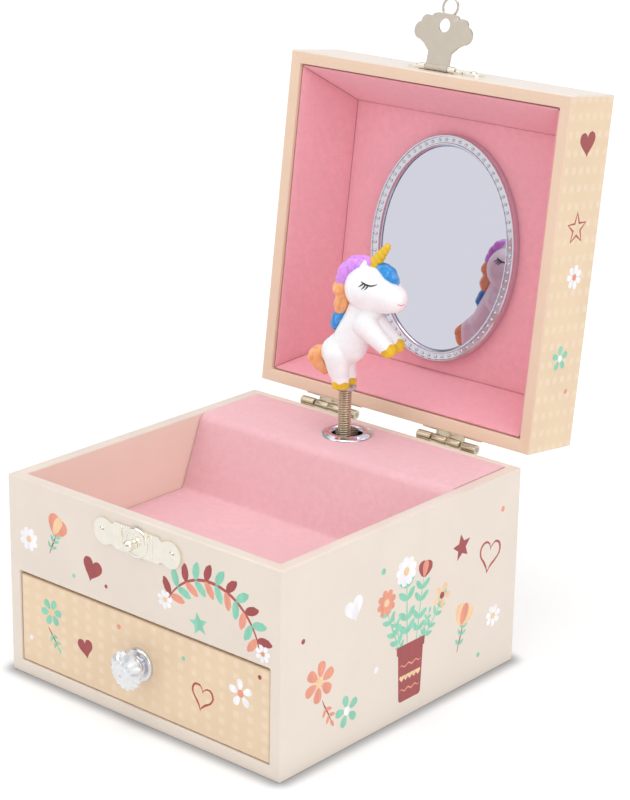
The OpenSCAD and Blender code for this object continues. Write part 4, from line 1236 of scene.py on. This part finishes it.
LOCKS = (
    # name, colour setting, stretch across, runs of (x, y, z, radius) in millimetres
    ("mane_purple", "purple", 1.4, (
        [(8.3, 0, 44.6, 2), (6.2, 0, 44.6, 2.4)], [(4.6, 0, 44.2, 2.6), (2.6, 0, 43.4, 3)],
        [(1.6, 0, 42.6, 2.7), (0, 0, 41, 3)], [(-0.6, 0, 39.9, 2.7), (-1.1, 0, 38.2, 2.8)],
    )),
    ("mane_orange", "orange", 1.3, (
        [(-1.2, 0, 36.2, 2.8), (-1.9, 0, 34.4, 3.2), (-1.4, 0, 32.6, 2.6)],
        [(-1.1, 0, 31.2, 2.8), (-1.5, 0, 29.4, 3), (-1.9, 0, 27.6, 2.3)],
    )),
    ("mane_blue", "blue", 1.15, (
        [(-1.6, 0, 26, 2), (-2.8, 0, 24.2, 2.3), (-3.9, 0, 22, 2), (-4.5, 0, 20.6, 1.2)],
    )),
    ("forelock", "blue", 1.2, (
        [(12.6, -0.2, 43.9, 1.6), (14, -0.3, 43.2, 2.1), (15.8, -0.4, 42, 2.3), (17.4, -0.5, 40.5, 1.9),
         (18.5, -0.5, 39.5, 1)],
    )),
    ("tail", "orange", 1, (
        [(-7.6, 0, 11.8, 2.2), (-10, 0, 10.4, 2.7), (-11.2, 0, 8.8, 3.1), (-9.9, 0, 6.4, 2.6), (-8, 0, 4.2, 1.4)],
    )),
)


def unicorn_body(look, place):
    bm = bmesh.new()
    for s in (-1, 1):
        chain(bm, [(-2.4, s * 2.9, 11.6, 4.5), (-1.4, s * 3, 6.4, 3.7), (-0.7, s * 3, 3.4, 3)])
        cone(bm, 3.1 * MM, 2.9 * MM, 3.6 * MM, shift(-0.4, s * 3, 1.8))
        chain(bm, [(8.2, s * 2.9, 24, 4.3), (12.6, s * 3.4, 20.4, 3.5), (16.2, s * 3.4, 17.3, 2.9),
                   (17.5, s * 3.4, 16.2, 2.75)])
        chain(bm, [(7.2, s * 2.6, 43.6, 1.5), (7.6, s * 3, 45, 1), (7.8, s * 3.2, 45.8, 0.6)])
    bean(bm, [(-3, 11.6, 6), (1.2, 14.8, 6.5), (2.6, 18.4, 6.3), (4.6, 22.6, 6.1), (5.9, 26.2, 5.8),
              (7.2, 29.8, 5.8)], 0.86)
    ball(bm, (8.2, 0, 36.1), 8.45, 1, 4)
    bean(bm, [(9.5, 35.6, 8), (12.2, 35, 7.2), (15, 34.2, 6.1), (17.5, 33.4, 4.85)], 0.97)
    finish = painted_vinyl("look_white_vinyl", look.white, look.gold)
    return stand_for(
        sculpt("unicorn_body", bm, finish, look.voxel, 6, place, hoof_paint), "figure", "white_vinyl", "unicorn"
    )


def unicorn_hair(look, place):
    for name, setting, wide, runs in LOCKS:
        bm = bmesh.new()
        for run in runs:
            chain(bm, run)
        bmesh.ops.scale(bm, vec=(1, wide, 1), verts=bm.verts)
        finish = vinyl("look_" + name, getattr(look, setting), 0.28, 1)
        stand_for(sculpt(name, bm, finish, look.voxel, 2, place, strand), "figure", "white_vinyl")


def unicorn_horn(look, place):
    bm = bmesh.new()
    rings, tall, blunt_from = 40, 11, 0.93
    profile = [(0, 0)]
    for i in range(rings):
        share = i / rings
        blunt = sqrt(1 - max(0, (share - blunt_from) / (1 - blunt_from)) ** 2)
        profile.append(((2.55 - 1.55 * share) * blunt, tall * share))
    for vert in lathe(bm, [*profile, (0, tall)], 28):
        share = vert.co.z / (tall * MM)
        vert.co.xy *= 1 + 0.09 * sin(atan2(vert.co.y, vert.co.x) + share * tau * 6)
    stand = place @ shift(8.9, 0, 43) @ spun(35, "Y")
    stand_for(piece("horn", bm, vinyl("look_gold", look.gold, 0.3), 60, stand), "figure", "white_vinyl")


def unicorn_face(look, place, body):
    back = place.inverted()
    skin = BVHTree.FromPolygons(
        [back @ v.co for v in body.data.vertices], [list(p.vertices) for p in body.data.polygons]
    )

    def on_skin(x, z, side):
        spot, normal = skin.ray_cast(Vector((x, side * 20, z)) * MM, Vector((0, -side, 0)))[:2]
        if spot is None:
            raise RuntimeError("a line of the face misses the head")
        return spot + normal * 0.02 * MM

    def draw(name, strokes, rgb):
        bm = bmesh.new()
        for side in (-1, 1):
            for points, radii in strokes:
                tube(bm, [on_skin(x, z, side) for x, z in points], radii)
        stand_for(piece(name, bm, vinyl("look_" + name, rgb, 0.35), 60, place), "figure", "white_vinyl")

    lid = [(8.6, 39.96), (9.6, 39.54), (10.5, 39.13), (11.35, 38.9), (12.1, 38.84), (12.9, 38.96), (13.7, 39.27)]
    strokes = [(lid, [0.16, 0.28, 0.33, 0.32, 0.28, 0.22, 0.12])]
    for root, tip in (((9.55, 39.5), (8, 38.3)), ((10.3, 39.2), (9.15, 37.6)), ((11.15, 38.95), (10.2, 37.5))):
        bent = ((root[0] + tip[0]) / 2 + 0.1, (root[1] + tip[1]) / 2 - 0.06)
        strokes.append(([root, bent, tip], [0.27, 0.24, 0.12]))
    draw("lashes", strokes, look.line)
    smile = [(20.4, 32.95), (20.9, 32.5), (21.3, 32.3), (21.7, 32.35), (22, 32.6)]
    draw("smile", [(smile, [0.08, 0.15, 0.18, 0.15, 0.08])], look.mouth)


class UnicornOperator(bpy.types.Operator):
    """Sculpts the vinyl unicorn with its painted mane, tail, horn and hooves"""

    bl_idname = "jewel_box.unicorn"
    bl_label = "Unicorn"

    def execute(self, context):
        look = context.scene.jewel_box.figure
        place = Matrix.Translation(POST) @ Matrix.Rotation(look.turn, 4, "Z")
        body = unicorn_body(look, place)
        unicorn_hair(look, place)
        unicorn_horn(look, place)
        unicorn_face(look, place, body)
        return {"FINISHED"}


class MovementOperator(bpy.types.Operator):
    """Finishes the wind-up movement and its key"""

    bl_idname = "jewel_box.movement"
    bl_label = "Movement"

    def execute(self, context):
        dress(metal("brass"), "pinned_cylinder", "post_ferrule", "spring_barrel", "great_wheel", "governor_wheel")
        dress(metal("steel"), "movement_screws", "cylinder_arbor", "winding_arbor", "governor_fly", "mainspring")
        dress(metal("cast"), "movement_plate", "governor_bracket")
        dress(metal("comb"), "comb")
        bevel = 2 * context.scene.jewel_box.metal.bevel
        stamped("turn_key", metal("pale_nickel"), "winder", "pale_nickel", "winding_key", bevel, 40)
        return {"FINISHED"}


# ---- Print ----


def stamp(bm, points, place, thick, rim=0):
    """Prints one flat motif from its outline in millimetres; rim leaves only a line that wide."""
    def ring(points, filled):
        verts = bmesh.ops.create_circle(bm, cap_ends=filled, segments=len(points), radius=1)["verts"]
        for vert, point in zip(verts, points):
            vert.co = point * MM
        return verts

    points = [Vector((*point, 0)) for point in points]
    outer = ring(points, not rim)
    faces = list(outer[0].link_faces)
    if rim:
        inner = ring([p * max(0.1, 1 - rim / max(p.length, 0.1)) for p in points], False)
        faces = bmesh.ops.bridge_loops(bm, edges=edges_of((*outer, *inner)))["faces"]
    top = verts_of(bmesh.ops.extrude_face_region(bm, geom=faces)["geom"])
    bmesh.ops.translate(bm, vec=(0, 0, thick), verts=top)
    island = {v for f in faces if f.is_valid for v in f.verts} | set(top)
    bmesh.ops.transform(bm, matrix=place, verts=list(island))


def hand(x, y, size):
    """Moves a point a little, as a brush does."""
    drift = 0.035 * size
    spot = Vector((x * 0.9 + size, y * 0.9, size))
    return x + drift * noise.noise(spot), y + drift * noise.noise(spot + Vector((7.3, 2.1, 0)))


def outline(count, size, point):
    """A closed outline drawn by hand: point gives its place, in millimetres, for a turn in radians."""
    return [hand(*point(tau * (i / count)), size) for i in range(count)]


def star(size):
    def point(t):
        reach = size * (0.46 if round(10 * t / tau) % 2 else 1)
        return reach * cos(t + pi / 2), reach * sin(t + pi / 2)

    return outline(10, size, point)


def heart(size):
    def point(t):
        y = 13 * cos(t) - 5 * cos(2 * t) - 2 * cos(3 * t) - cos(4 * t)
        return 16 * sin(t) ** 3 * size / 16, (y + 2) * size / 15

    return outline(32, size, point)


def petal(long, wide):
    return outline(16, long, lambda t: (long * (1 - cos(t)) / 2, wide / 2 * sin(t) * (1.15 - 0.35 * cos(t))))


def leaf(long, wide):
    return outline(18, long, lambda t: (long * (1 - cos(t)) / 2, wide / 2 * copysign(abs(sin(t)) ** 1.4, sin(t))))


def dot(size):
    return outline(14, size * 2, lambda t: (size * cos(t), size * sin(t)))


def brush(points, width):
    """Outline of a brush stroke along points, thick in the middle and thin at its ends."""
    count = len(points)

    def side(i, sign):
        a, b = Vector(points[max(i - 1, 0)]), Vector(points[min(i + 1, count - 1)])
        along = (b - a).normalized()
        reach = width / 2 * (0.35 + 0.65 * sin(pi * i / (count - 1)))
        return points[i][0] - sign * along.y * reach, points[i][1] + sign * along.x * reach

    return [side(i, 1) for i in range(count)] + [side(i, -1) for i in reversed(range(count))]


def ahead_across(turn):
    """Directions along and across a stem."""
    a = radians(turn)
    return Vector((cos(a), sin(a))), Vector((-sin(a), cos(a)))


class Sheet:
    """Collects the print of one face, a mesh for each ink."""

    def __init__(self, name, place, body):
        self.name, self.place, self.body = name, place, body
        self.look = bpy.context.scene.jewel_box.print
        self.inks, self.count = {}, 0

    def draw(self, *motifs):
        """Draws motifs in turn, each a method's name or an ink, with what the method or put takes."""
        for what, *values in motifs:
            if hasattr(self, what):
                getattr(self, what)(*values)
            else:
                self.put(what, *values)
        return self

    def put(self, ink_name, points, x, y, turn=0, layer=0, rim=0):
        """Prints a shape at its own height, so that no two that overlap lie in one plane."""
        self.count += 1
        thick = self.look.ink * (0.55 + 0.4 * layer + 0.011 * (self.count % 37))
        bm = self.inks.setdefault(ink_name, bmesh.new())
        stamp(bm, points, self.place @ shift(x, y, 0) @ spun(turn, "Z"), thick, rim)

    def done(self):
        for ink_name, bm in self.inks.items():
            finish = ink("look_ink_" + ink_name, getattr(self.look, ink_name))
            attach(piece(f"print_{self.name}_{ink_name}", bm, finish, 30, merge=0), self.body)

    def stroke(self, ink_name, points, width, layer=0):
        self.put(ink_name, brush(points, width), 0, 0, layer=layer)

    def daisy(self, x, y, size, petals, heart_ink, turn=0, count=7):
        for i in range(count):
            angle = turn + 360 * i / count
            spot = ahead_across(angle)[0] * size * 0.24
            self.put(petals, petal(size * 0.76, size * 0.44), x + spot.x, y + spot.y, angle, layer=2)
        self.put(heart_ink, dot(size * 0.27), x, y, layer=3)

    def tulip(self, x, y, size, cup, inner, turn=0):
        for lean in (24, -24):
            self.put(cup, petal(size * 1.5, size * 0.9), x, y, turn + lean, layer=2)
        self.put(inner, petal(size * 1.45, size * 0.62), x, y, turn, layer=3)

    def sprig(self, x, y, long, turn, stem, leaves, bend=0.2, count=4, leaf_size=0.3):
        ahead, across = ahead_across(turn)
        points = []
        for i in range(13):
            share = i / 12
            point = Vector((x, y)) + ahead * long * share + across * long * bend * sin(pi * share / 2) ** 2
            points.append(tuple(point))
        self.stroke(stem, points, 0.6)
        blade = leaf(long * leaf_size, long * leaf_size * 0.42)
        for i in range(1, count + 1):
            step = round(12 * i / (count + 0.6))
            lean = turn + degrees(atan2(bend, 1)) * step / 6
            for sign in (-1, 1):
                self.put(leaves, blade, *points[min(step, 12)], lean + sign * 48, layer=1)
        self.put(leaves, blade, *points[12], lean, layer=1)

    def pot(self, x, y):
        """A dark red pot with pale bands and an armful of flowers."""
        for dx, dy, long, turn, bend, flower in (
            (-5.2, 16, 22, 104, 0.12, ("daisy", 1, 4.6, "coral", "peach", 8)),
            (-1.6, 17, 27.5, 96, -0.04, ("daisy", 1, 5.2, "white", "peach", 9)),
            (2.2, 17, 24, 78, 0.06, ("tulip", 0, 3.9, "red", "coral")),
            (5, 16, 17.5, 62, -0.16, ("daisy", 1, 4.4, "peach", "red", 5)),
            (-3.4, 16, 15, 122, -0.18, None), (3.6, 16, 12, 52, 0.2, None),
        ):
            self.sprig(x + dx, y + dy, long, turn, "mint", "mint", bend, 4, 0.2)
            if flower:
                kind, rise, size, first, second, *count = flower
                ahead, across = ahead_across(turn)
                end = Vector((x + dx, y + dy)) + ahead * long + across * long * bend
                getattr(self, kind)(end.x, end.y + rise, size, first, second, turn, *count)
        wide = [(-6.4, 17), (6.4, 17), (5.6, 0.8), (4.8, 0), (-4.8, 0), (-5.6, 0.8)]
        self.put("red", wide, x, y, layer=1)
        self.put("red", [(-7.2, 20), (7.2, 20), (7, 17), (-7, 17)], x, y, layer=2)
        for level in (4, 12.6):
            reach = 4.9 + level * 0.05
            points = [(x - reach + i * reach / 6, y + level + 0.5 * sin(i * 1.57)) for i in range(13)]
            self.stroke("coral", points, 0.6, layer=2)
        for i in range(5):
            self.put("peach", heart(1.2), x - 4.2 + 2.1 * i, y + 8.2, 0, layer=2)

    def scatter(self, spots, size=1):
        """Small motifs in turn at the given places."""
        for i, (x, y) in enumerate(spots):
            turn = 37 * i
            self.draw((
                ("daisy", x, y, 4.6 * size, "coral", "peach", turn, 7),
                ("red", heart(3.6 * size), x, y, turn % 40 - 20),
                ("daisy", x, y, 4.4 * size, "mint", "white", turn, 5),
                ("white", heart(3.4 * size), x, y, turn % 50 - 25),
                ("line", star(4.2 * size), x, y, turn, 0, 0.8),
            )[i % 5])


class FrontPrintOperator(bpy.types.Operator):
    """Prints flowers, hearts and a leafy bough on the front and the drawer"""

    bl_idname = "jewel_box.front_print"
    bl_label = "Front print"

    def execute(self, context):
        front = Sheet("front", FRONT, "box").draw(
            ("daisy", -50.5, 49.5, 4.2, "white", "peach", 20, 8),
            ("tulip", -38.5, 54.6, 4.8, "coral", "peach", 62),
            ("sprig", -40.6, 47.2, 8, 74, "line", "mint", -0.12, 3, 0.34),
            ("red", heart(4.3), -21, 47, -14), ("red", dot(0.7), -14.6, 43.2), ("mint", dot(0.8), -29.4, 42.6),
        )
        centre_x, centre_y, reach = 31, 36, 21
        bough = [
            (centre_x + reach * cos(radians(a)), centre_y + (reach + 1) * sin(radians(a))) for a in range(150, 11, -6)
        ]
        front.stroke("line", bough, 1.1)
        for i in range(1, len(bough) - 1, 2):
            lean = 62 - 6 * i
            outer, inner = ("red", "coral") if i % 4 == 1 else ("mint", "mint")
            front.put(outer, leaf(6.2, 3), *bough[i], lean + 62, layer=1)
            front.put(inner, leaf(6.2, 2.8), *bough[i], lean - 64, layer=1)
        front.draw(
            ("daisy", bough[0][0] - 1.2, bough[0][1] - 0.4, 3.2, "white", "peach", 10, 7),
            ("daisy", 52.6, 41, 3, "white", "coral", 5, 7), ("mint", star(4), 26, 42.6, 12),
        ).done()
        Sheet("drawer", face_frame((0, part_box("drawer_front")[0].y, 0), (1, 0, 0)), "drawer").draw(
            ("daisy", -41, 26, 4.9, "mint", "peach", 8, 6),
            ("sprig", -42.5, 20.4, 7.2, -60, "line", "mint", 0.1, 2, 0.36),
            ("red", heart(3.5), -25, 18, 12), ("line", heart(4.8), 27, 17.6, -10, 0, 0.8),
            ("daisy", 43.2, 24.6, 4.9, "white", "coral", 24, 5), ("coral", dot(0.9), -9.5, 30.6),
            ("red", dot(0.8), 51, 32.6), ("white", dot(0.9), -51, 14), ("mint", dot(0.8), 19, 28.6),
        ).done()
        return {"FINISHED"}


class SidePrintOperator(bpy.types.Operator):
    """Prints a tall pot of flowers on the right side, and small motifs round the other sides"""

    bl_idname = "jewel_box.side_print"
    bl_label = "Side print"

    def execute(self, context):
        Sheet("right", RIGHT, "box").draw(
            ("pot", 3, 6), ("daisy", -42, 27.6, 7, "coral", "peach", 20, 6),
            ("sprig", -40.5, 21, 9, -72, "line", "coral", 0.15, 2, 0.34),
            ("white", heart(4.4), -26, 46.5, 14), ("daisy", -28.5, 13, 5.6, "mint", "white", 30, 5),
            ("red", star(4.8), 28.5, 51, 8), ("line", heart(6), 44, 43, -12, 0, 0.9),
            ("tulip", 29.6, 22.8, 5.4, "peach", "coral", 68),
            ("sprig", 28, 13.6, 10, 78, "line", "mint", -0.08, 3, 0.3),
            ("daisy", 47.5, 20.5, 4, "white", "peach", 12, 7), ("mint", dot(1.1), -12, 55),
            ("red", dot(0.9), -50, 44), ("coral", dot(1), 50.6, 58), ("mint", dot(0.9), 40, 8.6),
            ("white", dot(1.1), -14.4, 22),
        ).done()
        left = [(-40, 48), (-18, 22), (6, 50), (30, 18), (44, 46), (-46, 14), (18, 36)]
        back = [(-46, 32), (-30, 46), (-34, 14), (24, 12), (36, 42), (50, 24), (10, 50)]
        lid_left = [(-42, 83), (-14, 81), (12, 84), (38, 82)]
        lid_top = [(-40, 30), (-36, -8), (-44, -38), (38, 36), (42, 4), (34, -34), (-22, 44), (22, -12)]
        Sheet("left", LEFT, "box").draw(("scatter", left)).done()
        Sheet("back", BACK, "box").draw(("scatter", back)).done()
        Sheet("lid_right", LID @ RIGHT, "lid").draw(
            ("red", heart(4.4), -44, 82.6, 96), ("line", star(5.8), -16, 82.4, 22, 0, 0.9),
            ("daisy", 0.5, 84.6, 4.2, "white", "coral", 15, 7), ("daisy", 28, 82, 4.4, "mint", "white", 40, 5),
            ("coral", dot(0.9), 40, 88),
        ).done()
        Sheet("lid_left", LID @ LEFT, "lid").draw(("scatter", lid_left, 0.8)).done()
        Sheet("lid_top", LID @ LID_TOP, "lid").draw(("pot", 0, -30), ("scatter", lid_top)).done()
        return {"FINISHED"}


# ---- Add-on ----


class JewelBoxPanel(bpy.types.Panel):
    """Settings and pieces of the jewellery box"""

    bl_idname = "VIEW3D_PT_jewel_box"
    bl_label = "Jewellery Box"
    bl_space_type = "VIEW_3D"
    bl_region_type = "UI"
    bl_category = "Jewellery Box"

    def draw(self, context):
        for kind in OPERATORS:
            self.layout.operator(kind.bl_idname)
        for group in BoxSettings.__annotations__:
            box = self.layout.box()
            box.label(text=group.capitalize())
            part = getattr(context.scene.jewel_box, group)
            for name in part.__annotations__:
                box.prop(part, name)


OPERATORS = (
    StageOperator, CaseOperator, TrayOperator, DrawerOperator, LidOperator, LiningOperator, MirrorOperator,
    CatchOperator, HaspOperator, HingeOperator, KnobOperator, EyeletOperator, SpringOperator, UnicornOperator,
    MovementOperator, FrontPrintOperator, SidePrintOperator,
)
CLASSES = (
    StageSettings, PaperSettings, FeltSettings, MetalSettings, MirrorSettings, FigureSettings, PrintSettings,
    BoxSettings, *OPERATORS, JewelBoxPanel,
)


def register():
    for kind in CLASSES:
        bpy.utils.register_class(kind)
    bpy.types.Scene.jewel_box = PointerProperty(type=BoxSettings)


def unregister():
    del bpy.types.Scene.jewel_box
    for kind in reversed(CLASSES):
        bpy.utils.unregister_class(kind)


def main():
    register()
    for kind in OPERATORS:
        group, name = kind.bl_idname.split(".")
        getattr(getattr(bpy.ops, group), name)()


if __name__ == "__main__":
    main()
